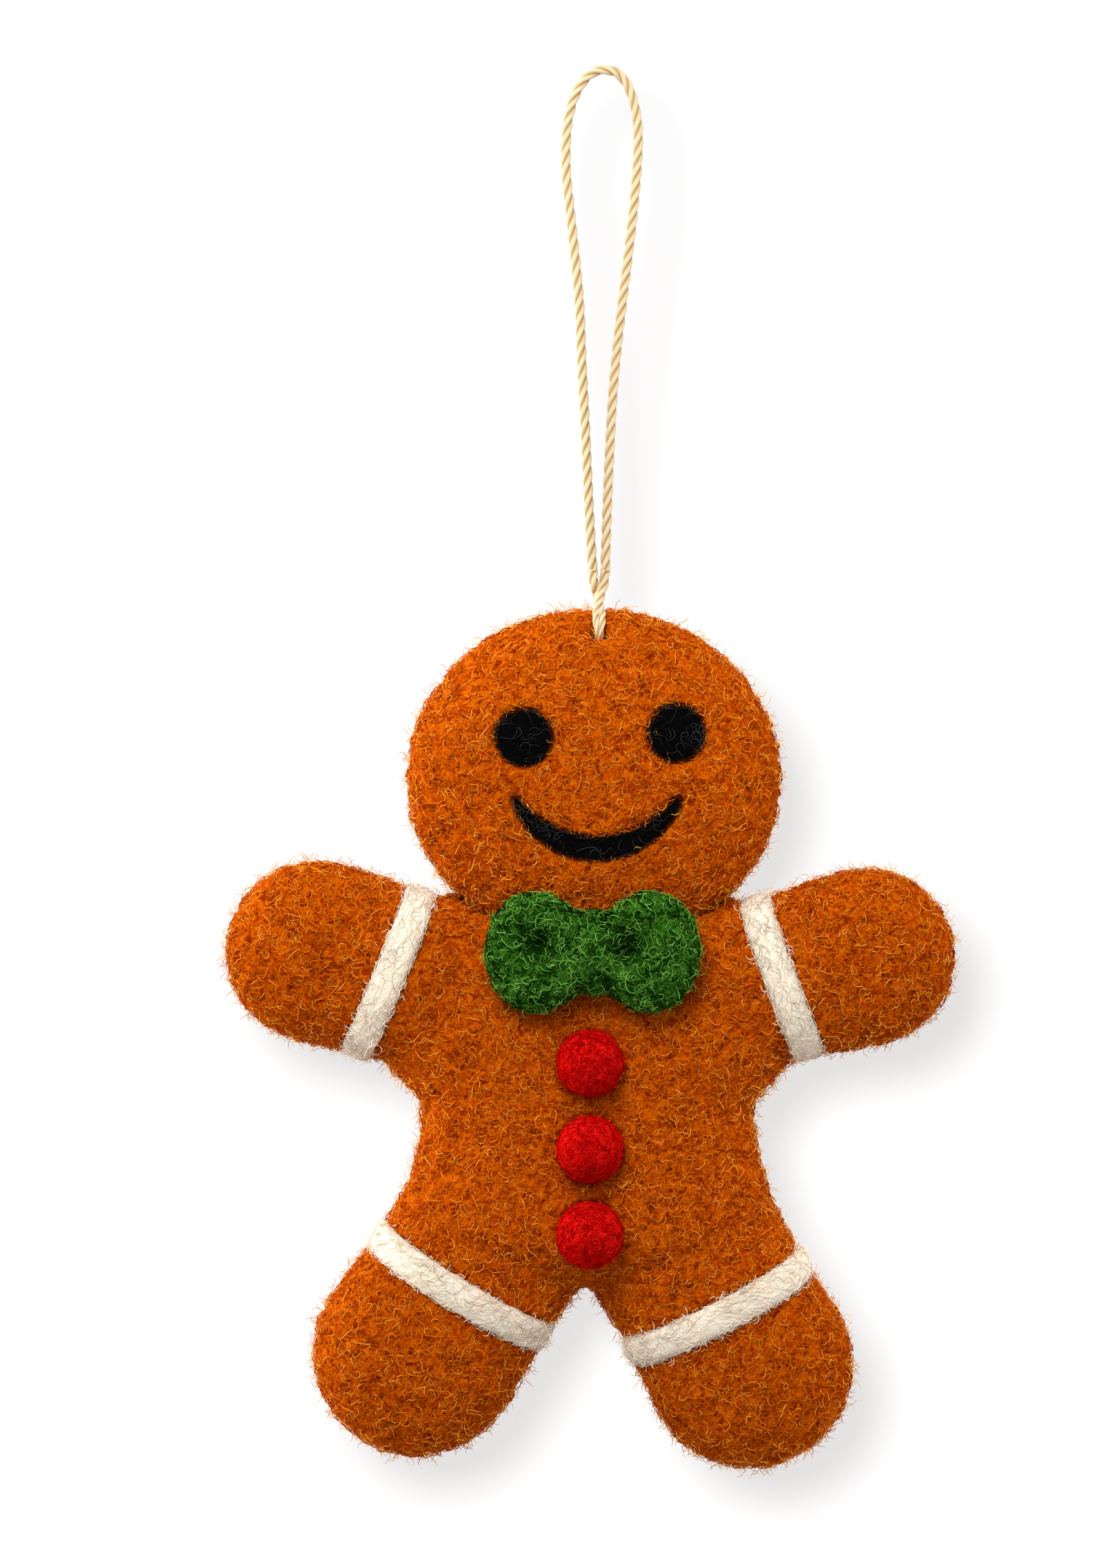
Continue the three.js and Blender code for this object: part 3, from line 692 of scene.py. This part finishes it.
# The route of the loop as x and z in millimetres, from the left foot over the top to the right foot
LOOP_ROUTE = [
    (-2.12, -66.1), (-2.55, -57.5), (-2.95, -49), (-3.35, -41.5), (-3.7, -33), (-4.3, -26.5), (-5, -20),
    (-5.58, -14.2), (-5.62, -9.6), (-5.2, -5.8), (-4.3, -2.9), (-3, -0.75), (-1.5, 0.45), (0.1, 0.75),
    (1.75, 0.3), (3.1, -1.2), (4.15, -3.8), (4.75, -7.4), (4.78, -11.2), (4.35, -17.2), (3.6, -24.3),
    (2.62, -32.2), (1.75, -39.6), (1.1, -47.2), (0.68, -55), (0.36, -62.5),
]
FOOT_SPREAD = 0.9 * MM
# Where each end passes the other above the crown, in millimetres to its side, back and under its foot
PASSING_POINTS = ((0.72, 0.1, 1.6), (0.3, -0.5, 3.2))
# How far each end crosses to the other side on the crown
CROSSING = 0.42 * MM
# Where the ends lie on the crown: millimetres below its top, share of the crossing, millimetres off it
CROWN_RESTS = ((0.9, 1, 0.45), (2.2, 0.95, 0.4), (3.8, 0.5, -0.35))
# The head's front is felt for this far to each side of the cord's channel
CHANNEL_ASIDE = 2.8 * MM
# The cord's thickness in the felt and in the knot, as shares of its own
SUNK_SHARE = 0.62
KNOT_SHARE = 0.72
YARNS = 3


def felt_front(x, z):
    """Where the head's front lies at this x and z, taken beside the cord's own channel."""
    skin = skin_of(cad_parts["head"].data)
    found = []
    for aside in (-CHANNEL_ASIDE, CHANNEL_ASIDE):
        place = skin.ray_cast(Vector((x + aside, -1, z)), TOWARDS_BACK)[0]
        found.append(place.y if place else 0)
    return sum(found) / len(found)


def rounded(points, step, parts=12):
    """Points a step apart on a smooth curve through the given ones."""
    padded = [2 * points[0] - points[1], *points, 2 * points[-1] - points[-2]]
    fine = []
    for a, b, c, d in zip(padded, padded[1:], padded[2:], padded[3:]):
        t1 = (b - a).length ** 0.5
        t2 = t1 + (c - b).length ** 0.5
        t3 = t2 + (d - c).length ** 0.5
        for i in range(parts):
            t = t1 + (t2 - t1) * i / parts
            ab = a.lerp(b, t / t1)
            bc = b.lerp(c, (t - t1) / (t2 - t1))
            cd = c.lerp(d, (t - t2) / (t3 - t2))
            abc = ab.lerp(bc, t / t2)
            bcd = bc.lerp(cd, (t - t1) / (t3 - t1))
            fine.append(abc.lerp(bcd, (t - t1) / (t2 - t1)))
    fine.append(points[-1])
    line = np.array([tuple(place) for place in fine])
    run = np.concatenate([[0], np.cumsum(np.linalg.norm(np.diff(line, axis=0), axis=1))])
    at = np.linspace(0, run[-1], max(2, round(run[-1] / step) + 1))
    return np.stack([np.interp(at, run, line[:, k]) for k in range(3)], axis=1)


def lobed(share, strand_share):
    """The radius of the twisted section at this share of a turn, for a cord of radius 1."""
    off = 1 - strand_share
    turn = (share * YARNS + 0.5) % 1 / YARNS - 0.5 / YARNS
    angle = math.tau * turn
    return off * math.cos(angle) + math.sqrt(max(strand_share**2 - (off * math.sin(angle)) ** 2, 0))


def twisted_skin(name, line, radii, sizes, sides=24):
    """A closed skin of the twisted cord along the line, with its hollows and its yarn map."""
    ahead = np.gradient(line, axis=0)
    ahead /= np.linalg.norm(ahead, axis=1, keepdims=True)
    side = np.cross(ahead[0], TOWARDS_BACK)
    side /= np.linalg.norm(side)
    deepest = 1 - lobed(0.5 / YARNS, sizes.strand_share)
    run = 0.0
    places, hollows, maps = [], [], []
    for i, at in enumerate(line):
        if i:
            run += np.linalg.norm(at - line[i - 1])
            side = side - ahead[i] * (side @ ahead[i])
            side /= np.linalg.norm(side)
        up = np.cross(ahead[i], side)
        for k in range(sides):
            share = k / sides
            reach = lobed(share, sizes.strand_share)
            angle = math.tau * (share + run / sizes.lay)
            places.append(at + radii[i] * reach * (math.cos(angle) * side + math.sin(angle) * up))
            hollows.append((1 - reach) / deepest)
            maps.append((share, run / sizes.lay))
    faces = [
        (i * sides + k, i * sides + (k + 1) % sides, (i + 1) * sides + (k + 1) % sides, (i + 1) * sides + k)
        for i in range(len(line) - 1)
        for k in range(sides)
    ]
    ends = len(places)
    places += [line[0], line[-1]]
    hollows += [0.5, 0.5]
    maps += [(0, 0), (0, run / sizes.lay)]
    last = ends - sides
    for k in range(sides):
        faces.append((ends, (k + 1) % sides, k))
        faces.append((ends + 1, last + k, last + (k + 1) % sides))
    mesh = bpy.data.meshes.new(name)
    mesh.from_pydata([tuple(place) for place in places], [], faces)
    layer = mesh.uv_layers.new(name="yarn")
    for polygon in mesh.polygons:
        corners = [mesh.loops[j].vertex_index for j in polygon.loop_indices]
        columns = [corner % sides for corner in corners if corner < ends]
        wraps = 0 in columns and sides - 1 in columns
        for j, corner in zip(polygon.loop_indices, corners):
            u, v = maps[corner]
            layer.data[j].uv = (1 if wraps and u == 0 else u, v)
    # How deep each point lies in a groove; the cord's material paints shade by it
    mesh.attributes.new("hollow", "FLOAT", "POINT").data.foreach_set("value", hollows)
    smooth(mesh)
    return mesh


def crown_end(side, foot, middle, sizes):
    """One end of the loop: it crosses the other, lies on the crown and dives through the felt."""
    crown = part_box("head")[1].z
    knot = middle_of("cord_knot")
    on_crown = []
    for drop, across, lift in CROWN_RESTS:
        z = crown - drop * MM
        front = felt_front(middle, z) - lift * MM
        on_crown.append(Vector((middle - side * CROSSING * across, front, z)))
    points = [
        foot + Vector((0, 0, 0.25 * MM)),
        *(Vector((middle + side * x * MM, side * y * MM, foot.z - z * MM)) for x, y, z in PASSING_POINTS),
        *on_crown,
        on_crown[-1].lerp(knot, 0.5),
        Vector((knot.x, knot.y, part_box("cord_knot")[1].z)),
    ]
    path = rounded(points, sizes.ring_step)
    tip = crown - CROWN_RESTS[-1][0] * MM
    share = np.clip((path[:, 2] - tip) / (foot.z - 2 * MM - tip), 0, 1)
    radii = sizes.diameter / 2 * (SUNK_SHARE + (1 - SUNK_SHARE) * share)
    return twisted_skin("cord_end", path, radii, sizes)


def knot_skin(sizes):
    """A trefoil knot tied in the room of the frame's knot."""
    low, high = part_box("cord_knot")
    radius = KNOT_SHARE * sizes.diameter / 2
    turns = np.linspace(0, math.tau, 121)
    x = (np.sin(turns) + 2 * np.sin(2 * turns)) / 3
    z = (np.cos(turns) - 2 * np.cos(2 * turns)) / 3
    trefoil = np.stack([x, -np.sin(3 * turns), z], axis=1)
    line = np.array((low + high) / 2) + trefoil * (np.array((high - low) / 2) - radius)
    return twisted_skin("inner_knot", line, [radius] * len(line), sizes, sides=15)


class ORNAMENT_OT_cord(Operator):
    """Makes the hanging cord: the loop, the crossed strands over the crown, and the knot in the head"""

    bl_idname = "ornament.cord"
    bl_label = "Hanging cord"

    def execute(self, context):
        sizes = context.scene.ornament_cord
        material = cord_material(sizes.cream, sizes.tan)
        neck_low, neck_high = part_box("cord_neck")
        middle = (neck_low.x + neck_high.x) / 2
        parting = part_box("cord_loop")[0].z
        feet = [Vector((middle + side * FOOT_SPREAD, 0, parting)) for side in (-1, 1)]
        route = [feet[0], *(Vector((x * MM, 0, z * MM)) for x, z in LOOP_ROUTE), feet[1]]
        line = rounded(route, sizes.ring_step)
        radii = [sizes.diameter / 2] * len(line)
        loop = shown("hang_loop_cord", twisted_skin("hang_loop_cord", line, radii, sizes))
        loop.data.materials.append(material)
        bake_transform(loop)
        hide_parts("cord_loop")

        ends = [crown_end(side, foot, middle, sizes) for side, foot in zip((-1, 1), feet)]
        neck = shown("cord_over_crown", joined("cord_over_crown", ends))
        smooth(neck.data)
        neck.data.materials.append(material)
        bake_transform(neck)
        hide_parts("cord_neck", "cord_tail")

        tied = shown("inner_knot", knot_skin(sizes))
        finished(tied, material, ["cord_knot"])

        return {"FINISHED"}


# Felt

# What each random source adds to the wool's seed
FACE_SEED = 31
BAND_SEED = 43
BAND_FUZZ_SEED = 47
BOW_SEED = 57
BOW_FUZZ_SEED = 59
BUTTON_SEED = 71
BUTTON_FUZZ_SEED = 73
FUZZ_SEED = 99
OUTLINE_SEED = 131

# Matted fibres: a name, the tint as in tinted, and how many on a square metre
FACE_FIBRES = (("dark", 0.05, 1.2e6), ("light", 0.65, 0.5e6))
BAND_FIBRES = (("pale", 0, 1.3e6), ("deep", -1, 0.6e6))
BUTTON_FIBRES = (("deep", -0.5, 1.3e6), ("middle", 0.15, 1.6e6), ("light", 0.8, 0.8e6))
# The same for the bow, and the millimetres that the fibres keep off its hollows, which leaves only the deep
# fibres there as painted shade
BOW_FIBRES = (
    ("deep", -0.6, 0.6e6, 0.0),
    ("middle", 0.15, 0.6e6, 1.0),
    ("light", 0.5, 0.5e6, 1.6),
    ("pale", 1.0, 0.45e6, 2),
)
# The bow's two hollows, as x and z in millimetres from the middle of the bow, which get painted shade
BOW_HOLLOWS = ((-7.9, 0.9), (5.3, 0.4))


class ORNAMENT_OT_figure(Operator):
    """Makes the gingerbread felt: the round head, and the torso with its arms and legs"""

    bl_idname = "ornament.figure"
    bl_label = "Gingerbread felt"

    def execute(self, context):
        felt, wool = wool_settings()
        tints = (wool.ginger_deep, wool.ginger, wool.ginger_light)
        material = felt_material("gingerbread wool felt", *tints, fibre_size=felt.curl_size, bump=0.6)
        for name, nodes in (("felt_head", ["head"]), ("felt_body", ["torso", *LIMBS])):
            piece = felted(
                name, nodes, material, felt.grain, rounds=3,
                lump=(felt.lump_size, felt.lump_depth), curl=(felt.curl_size, felt.curl_depth),
                inset=0.1 * MM,
            )
        return {"FINISHED"}


class ORNAMENT_OT_face(Operator):
    """Makes the eyes and the smile, needled in black wool"""

    bl_idname = "ornament.face"
    bl_label = "Face"

    def execute(self, context):
        felt, wool = wool_settings()
        base = felt_material(
            "black wool", wool.black, wool.black, between(wool.black, wool.black_light, 0.05),
            fibre_size=1 * MM, bump=0.8,
        )
        meshes = []
        for node in FACE:
            piece = felted(
                "felt_" + node, [node], base, grain=0.28 * MM, rounds=4,
                lump=(2 * MM, 0.3 * MM), curl=(0.8 * MM, 0.25 * MM), inset=0.25 * MM,
            )
            meshes.append(piece.data)
        strands = curl_set(
            "black strands", felt.seed + FACE_SEED, 12, 0.05 * MM, (2.5, 5.5), points=10, turn=3.2,
            arch=0.25 * MM, dip=0.15 * MM,
        )
        matted(
            "face", joined("face", meshes), "black_felt", "black", strands,
            (wool.black, wool.black, wool.black_light), FACE_FIBRES, felt.seed, highest=0.1 * MM,
        )
        return {"FINISHED"}


class ORNAMENT_OT_bands(Operator):
    """Makes the four white roving bands, with fibres that run along them"""

    bl_idname = "ornament.bands"
    bl_label = "Roving bands"

    def execute(self, context):
        felt, wool = wool_settings()
        tints = (wool.white_deep, wool.white, wool.white)
        base = felt_material("white wool roving", *tints, fibre_size=1.1 * MM, bump=0.4)
        soaked(base, 0.3)
        strands = curl_set(
            "roving strands", felt.seed + BAND_SEED, 14, 0.055 * MM, (2.5, 5), points=8, turn=2,
            arch=0.15 * MM, dip=0.1 * MM,
        )
        edges = []
        for node in BANDS:
            piece = felted(
                node + "_roving", [node], base, grain=0.45 * MM, rounds=5,
                lump=(2.4 * MM, 0.25 * MM), curl=(1 * MM, 0.15 * MM), inset=-0.32 * MM,
            )
            axis = (middle_of(node.replace("_band", "")) - middle_of(node)).normalized()
            matted(
                node, piece.data, "white_roving", "white", strands, tints, BAND_FIBRES,
                felt.seed + len(node), axis=tuple(axis), spin=0.45, highest=0.08 * MM,
            )
            edges.append(facing(piece.data, axis, 0.2, 0.9))
        loose_hairs(
            "band_fuzz", joined("band edges", edges), "white_roving", wool.white, 2.4e6,
            felt.seed + BAND_FUZZ_SEED, thick=1.2, least_tilt=-1.0, least_scale=0.45, most_scale=1.0,
        )
        return {"FINISHED"}


class ORNAMENT_OT_bow(Operator):
    """Makes the bow tie of curly green wool"""

    bl_idname = "ornament.bow"
    bl_label = "Bow tie"

    def execute(self, context):
        felt, wool = wool_settings()
        tints = (wool.green_deep, wool.green, wool.green_light)
        base = felt_material(
            "green wool", *tints[:2], tinted(*tints, 0.25), fibre_size=1.6 * MM, bump=0.8
        )
        piece = felted(
            "bow_tie_wool", ["bow_tie"], base, grain=0.42 * MM, rounds=3,
            lump=(3 * MM, 0.6 * MM), curl=(1.5 * MM, 0.55 * MM), inset=0.1 * MM,
        )
        middle = middle_of("bow_tie")
        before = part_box("bow_tie")[0].y - 5 * MM
        skin = skin_of(piece.data)
        hollows = [
            skin.ray_cast(Vector((middle.x + x * MM, before, middle.z + z * MM)), TOWARDS_BACK)[0]
            for x, z in BOW_HOLLOWS
        ]
        # Painted shade: the bow darkens towards its deep green about the two hollows
        paint_shade_near(piece, hollows, reach=3.2 * MM)
        kept_off = shown("bow hollows", dots("bow hollows", hollows, radius=0.3 * MM))
        strands = curl_set(
            "green curls", felt.seed + BOW_SEED, 16, 0.1 * MM, (3, 5.5), points=10, turn=6.5,
            arch=0.35 * MM, dip=0.25 * MM,
        )
        for *fibres, clear in BOW_FIBRES:
            matted(
                "bow", piece.data, "green_wool", "green", strands, tints, [fibres], felt.seed,
                keep_off=kept_off, clearance=clear * MM, lowest=-0.1 * MM, highest=0.15 * MM,
            )
        bpy.data.objects.remove(kept_off)
        loose_hairs(
            "bow_fuzz", piece.data.copy(), "green_wool", wool.green_light, 0.8e6,
            felt.seed + BOW_FUZZ_SEED, least_tilt=-0.8,
        )
        return {"FINISHED"}


class ORNAMENT_OT_buttons(Operator):
    """Makes the three red felt-ball buttons"""

    bl_idname = "ornament.buttons"
    bl_label = "Buttons"

    def execute(self, context):
        felt, wool = wool_settings()
        tints = (wool.red_deep, wool.red, wool.red_light)
        base = felt_material("red wool", *tints, fibre_size=1.3 * MM, bump=0.6)
        meshes = []
        for node in BUTTONS:
            piece = felted(
                node + "_wool", [node], base, grain=0.4 * MM, rounds=6,
                lump=(3 * MM, 0.3 * MM), curl=(1.2 * MM, 0.15 * MM), inset=0.12 * MM,
            )
            meshes.append(piece.data)
        strands = curl_set(
            "red strands", felt.seed + BUTTON_SEED, 12, 0.05 * MM, 2.8, points=7, turn=4,
            arch=0.12 * MM, dip=0.15 * MM,
        )
        matted(
            "button", joined("buttons", meshes), "red_felt", "red", strands, tints, BUTTON_FIBRES,
            felt.seed, highest=0.08 * MM,
        )
        loose_hairs(
            "button_fuzz", joined("buttons", meshes), "red_felt", wool.red, 0.9e6,
            felt.seed + BUTTON_FUZZ_SEED, most_scale=0.7,
        )
        return {"FINISHED"}


class ORNAMENT_OT_strands(Operator):
    """Mats curled fibres over the gingerbread felt, and lets loose hairs stand off it"""

    bl_idname = "ornament.strands"
    bl_label = "Gingerbread fibres"

    def execute(self, context):
        felt, wool = wool_settings()
        slot = "gingerbread_felt"
        covers = shown("covers", copied("covers", [*FACE, *BANDS, *BUTTONS, "bow_tie"]))
        base = joined("gingerbread", [bpy.data.objects[name].data for name in ("felt_head", "felt_body")])

        curls = curl_set(
            "gingerbread curls", felt.seed, 20, felt.strand_radius, (0.6, 1.1), felt.strand_length,
            points=7, turn=4.2, arch=0.3 * MM, dip=0.25 * MM,
        )
        # Each tint with the middle of its rise off the felt in millimetres, and its share of the strands.
        # The higher strands are lighter and the lowest darker, partly as painted highlight and painted
        # shade
        tints = {
            "ginger": (between(wool.ginger_deep, wool.ginger, 0.8), -0.05, 0.65),
            "orange": (between(wool.ginger, wool.ginger_light, 0.4), 0.0, 1),
            "light": (wool.ginger_light, 0.05, 1),
            "gold": (between(wool.ginger_light, wool.ginger_gold, 0.45), 0.1, 0.65),
        }
        for i, (name, (tint, rise, share)) in enumerate(tints.items()):
            scattered(
                f"gingerbread_fibres_{name}", base.copy(), slot, curls,
                strand_material(f"gingerbread wool fibres, {name}", tint), felt.strands * share,
                felt.seed + 10 * i, keep_off=covers, clearance=0.08 * MM,
                lowest=(rise - 0.1) * MM, highest=(rise + 0.1) * MM,
            )

        off_covers = {"keep_off": covers, "clearance": 0.4 * MM}
        # Painted highlight: the loose hairs lean towards the pale tint
        for name, share in (("orange", 0.3), ("gold", 0.75)):
            loose_hairs(
                f"gingerbread_fuzz_{name}", base.copy(), slot,
                between(wool.ginger_light, wool.ginger_pale_highlight, share), felt.fuzz,
                felt.seed + FUZZ_SEED + len(name), **off_covers,
            )
        # Painted light: the outline gets hairs of the pale tint alone, lighter than the front, as the glow
        # of backlit fuzz
        loose_hairs(
            "gingerbread_fuzz_outline", facing(base, TOWARDS_BACK, -1, 0.6), slot, wool.ginger_pale_highlight,
            0.35e6, felt.seed + OUTLINE_SEED, least_scale=0.6, most_scale=1.3, least_tilt=-1.25,
            most_tilt=-0.4, **off_covers,
        )
        bpy.data.objects.remove(covers)
        return {"FINISHED"}


# Stage

WALL_HALF_WIDTH = 0.8
WALL_RISE = 0.6
WALL_DROP = 0.3
FLOOR_HALF = 3
# The height that the lamps point at
LAMP_AIM = -135 * MM
# Where each sun lamp stands, seen from the figure
SUNS = {"key": (-0.22, -0.8, 0.5), "left": (-1, 0.15, 0.2), "right": (1, 0.1, 0.15)}
SUN_SPREAD = math.radians(22)
TOP_LAMP_PLACE = (-0.03, -0.18, 0.17)
TOP_LAMP_SIZE = 0.12
# Where the backdrop's lamp stands, seen from the camera, and its radius
BACKDROP_LAMP_PLACE = (-0.045, 0, 0.05)
BACKDROP_LAMP_RADIUS = 0.04


def aimed(name, data, place, target):
    """An object at a place that looks at the target."""
    made = shown(name, data)
    made.location = place
    made.rotation_euler = (target - place).to_track_quat("-Z", "Y").to_euler()
    return made


def pale_material(name, glow):
    """A sheet that glows nearly white, takes soft shadows and can't be seen from behind."""
    made, tree, shader = new_material(name)
    tree.nodes.remove(shader)
    light = put(tree, "ShaderNodeEmission", {"Color": (1, 1, 1, 1), "Strength": glow})
    sheet = put(tree, "ShaderNodeBsdfDiffuse", {"Color": (0.5, 0.5, 0.5, 1)})
    front = put(tree, "ShaderNodeAddShader", {0: light.outputs[0], 1: sheet.outputs[0]})
    back = put(tree, "ShaderNodeBsdfTransparent")
    behind = put(tree, "ShaderNodeNewGeometry").outputs["Backfacing"]
    whole = put(tree, "ShaderNodeMixShader", {"Fac": behind, 1: front.outputs[0], 2: back.outputs[0]})
    feed(tree.nodes["Material Output"], {"Surface": whole.outputs[0]})
    return made


def flat_sheet(name, corners, glow, lights):
    """A pale stage sheet. It casts no shadow, and lights tells if it lights the rest."""
    mesh = bpy.data.meshes.new(name)
    mesh.from_pydata(corners, [], [(0, 1, 2, 3)])
    mesh.materials.append(pale_material("pale " + name, glow))
    made = shown(name, mesh)
    made.visible_shadow = False
    made.visible_diffuse = lights
    return made


def backdrop_and_floor(depth, stage):
    """Stands the pale backdrop behind the figure and lays the pale floor, and gives the backdrop."""
    back = depth + stage.backdrop_distance
    floor = CAD_LOW.z - stage.floor_drop
    heights = {-1: floor - WALL_DROP, 1: WALL_RISE}
    corners = ((-1, -1), (1, -1), (1, 1), (-1, 1))
    rising = [(x * WALL_HALF_WIDTH, back, heights[z]) for x, z in corners]
    lying = [(x * FLOOR_HALF, y * FLOOR_HALF, floor) for x, y in corners]
    flat_sheet("floor", lying, glow=0.55, lights=False)
    return flat_sheet("backdrop", rising, glow=0.56, lights=True)


def lamp(name, kind, energy, place, target, lit, **settings):
    """A lamp that lights what the collection says."""
    data = bpy.data.lights.new(name, kind)
    data.energy = energy
    for setting, value in settings.items():
        setattr(data, setting, value)
    aimed(name, data, place, target).light_linking.receiver_collection = lit


def lamps(aim, eye, target, wall, stage):
    """Sets the suns and the top lamp, which spare the backdrop, and a lamp for the backdrop alone."""
    spared = bpy.data.collections.new("All but the backdrop")
    only = bpy.data.collections.new("The backdrop alone")
    for kept in (spared, only):
        kept.objects.link(wall)
    spared.collection_objects[0].light_linking.link_state = "EXCLUDE"
    for name, place in SUNS.items():
        lamp(name, "SUN", getattr(stage, name), aim + Vector(place), aim, spared, angle=SUN_SPREAD)
    place = aim + Vector(TOP_LAMP_PLACE)
    lamp("top lamp", "AREA", stage.top_power, place, aim, spared, size=TOP_LAMP_SIZE)
    place = eye + Vector(BACKDROP_LAMP_PLACE)
    radius = BACKDROP_LAMP_RADIUS
    lamp("backdrop lamp", "POINT", stage.backdrop_power, place, target, only, shadow_soft_size=radius)


def studio_world(fill):
    """A world that lights the object by the fill, and is plain white where it is seen."""
    world = bpy.data.worlds.new("studio")
    world.use_nodes = True
    tree = world.node_tree
    path = put(tree, "ShaderNodeLightPath").outputs
    seen = maths(tree, "MAXIMUM", path["Is Camera Ray"], path["Is Glossy Ray"])
    seen = maths(tree, "MAXIMUM", seen, path["Is Transmission Ray"])
    strength = put(tree, "ShaderNodeMapRange", {"Value": seen, "To Min": fill, "To Max": 1.0})
    feed(tree.nodes["Background"], {"Strength": strength.outputs[0], "Color": (1, 1, 1, 1)})
    return world


class ORNAMENT_OT_stage(Operator):
    """Sets up the camera, the lamps, the pale backdrop and the pale floor"""

    bl_idname = "ornament.stage"
    bl_label = "Stage"

    def execute(self, context):
        scene = context.scene
        stage = scene.ornament_stage
        scene.view_settings.view_transform = "Standard"
        depth = middle_of("torso").y
        target = Vector((stage.view_x, depth, stage.view_z))

        camera = bpy.data.cameras.new("camera")
        camera.lens = stage.lens
        camera.sensor_width = 36
        away = stage.view_height * stage.lens / camera.sensor_width
        eye = target + Vector((0, -away, 0))
        scene.camera = aimed("camera", camera, eye, target)

        wall = backdrop_and_floor(depth, stage)
        lamps(Vector((target.x, depth, LAMP_AIM)), eye, target, wall, stage)
        scene.world = studio_world(stage.fill)
        return {"FINISHED"}


# Panel and registration


class ORNAMENT_PT_panel(Panel):
    """Lists the ornament's sizes, colours and operators"""

    bl_idname = "ORNAMENT_PT_panel"
    bl_label = "Felt ornament"
    bl_space_type = "VIEW_3D"
    bl_region_type = "UI"
    bl_category = "Felt ornament"

    def draw(self, context):
        layout = self.layout
        for settings in SETTINGS:
            group = getattr(context.scene, settings)
            box = layout.box()
            for name in group.bl_rna.properties.keys():
                if name not in ("rna_type", "name"):
                    box.prop(group, name)
        for operator in STEPS:
            layout.operator(operator.bl_idname)


SETTINGS = {
    "ornament_cord": CordSettings,
    "ornament_felt": FeltSettings,
    "ornament_colours": FeltColours,
    "ornament_stage": StageSettings,
}
STEPS = (
    ORNAMENT_OT_stage,
    ORNAMENT_OT_cord,
    ORNAMENT_OT_figure,
    ORNAMENT_OT_face,
    ORNAMENT_OT_bands,
    ORNAMENT_OT_bow,
    ORNAMENT_OT_buttons,
    ORNAMENT_OT_strands,
)


def register():
    for kind in (*SETTINGS.values(), *STEPS, ORNAMENT_PT_panel):
        bpy.utils.register_class(kind)
    for name, kind in SETTINGS.items():
        setattr(bpy.types.Scene, name, PointerProperty(type=kind))


def unregister():
    for name in SETTINGS:
        delattr(bpy.types.Scene, name)
    for kind in (ORNAMENT_PT_panel, *reversed(STEPS), *SETTINGS.values()):
        bpy.utils.unregister_class(kind)


def main():
    """Builds the whole ornament."""
    register()
    for step in STEPS:
        group, name = step.bl_idname.split(".")
        getattr(getattr(bpy.ops, group), name)()


if __name__ == "__main__":
    main()
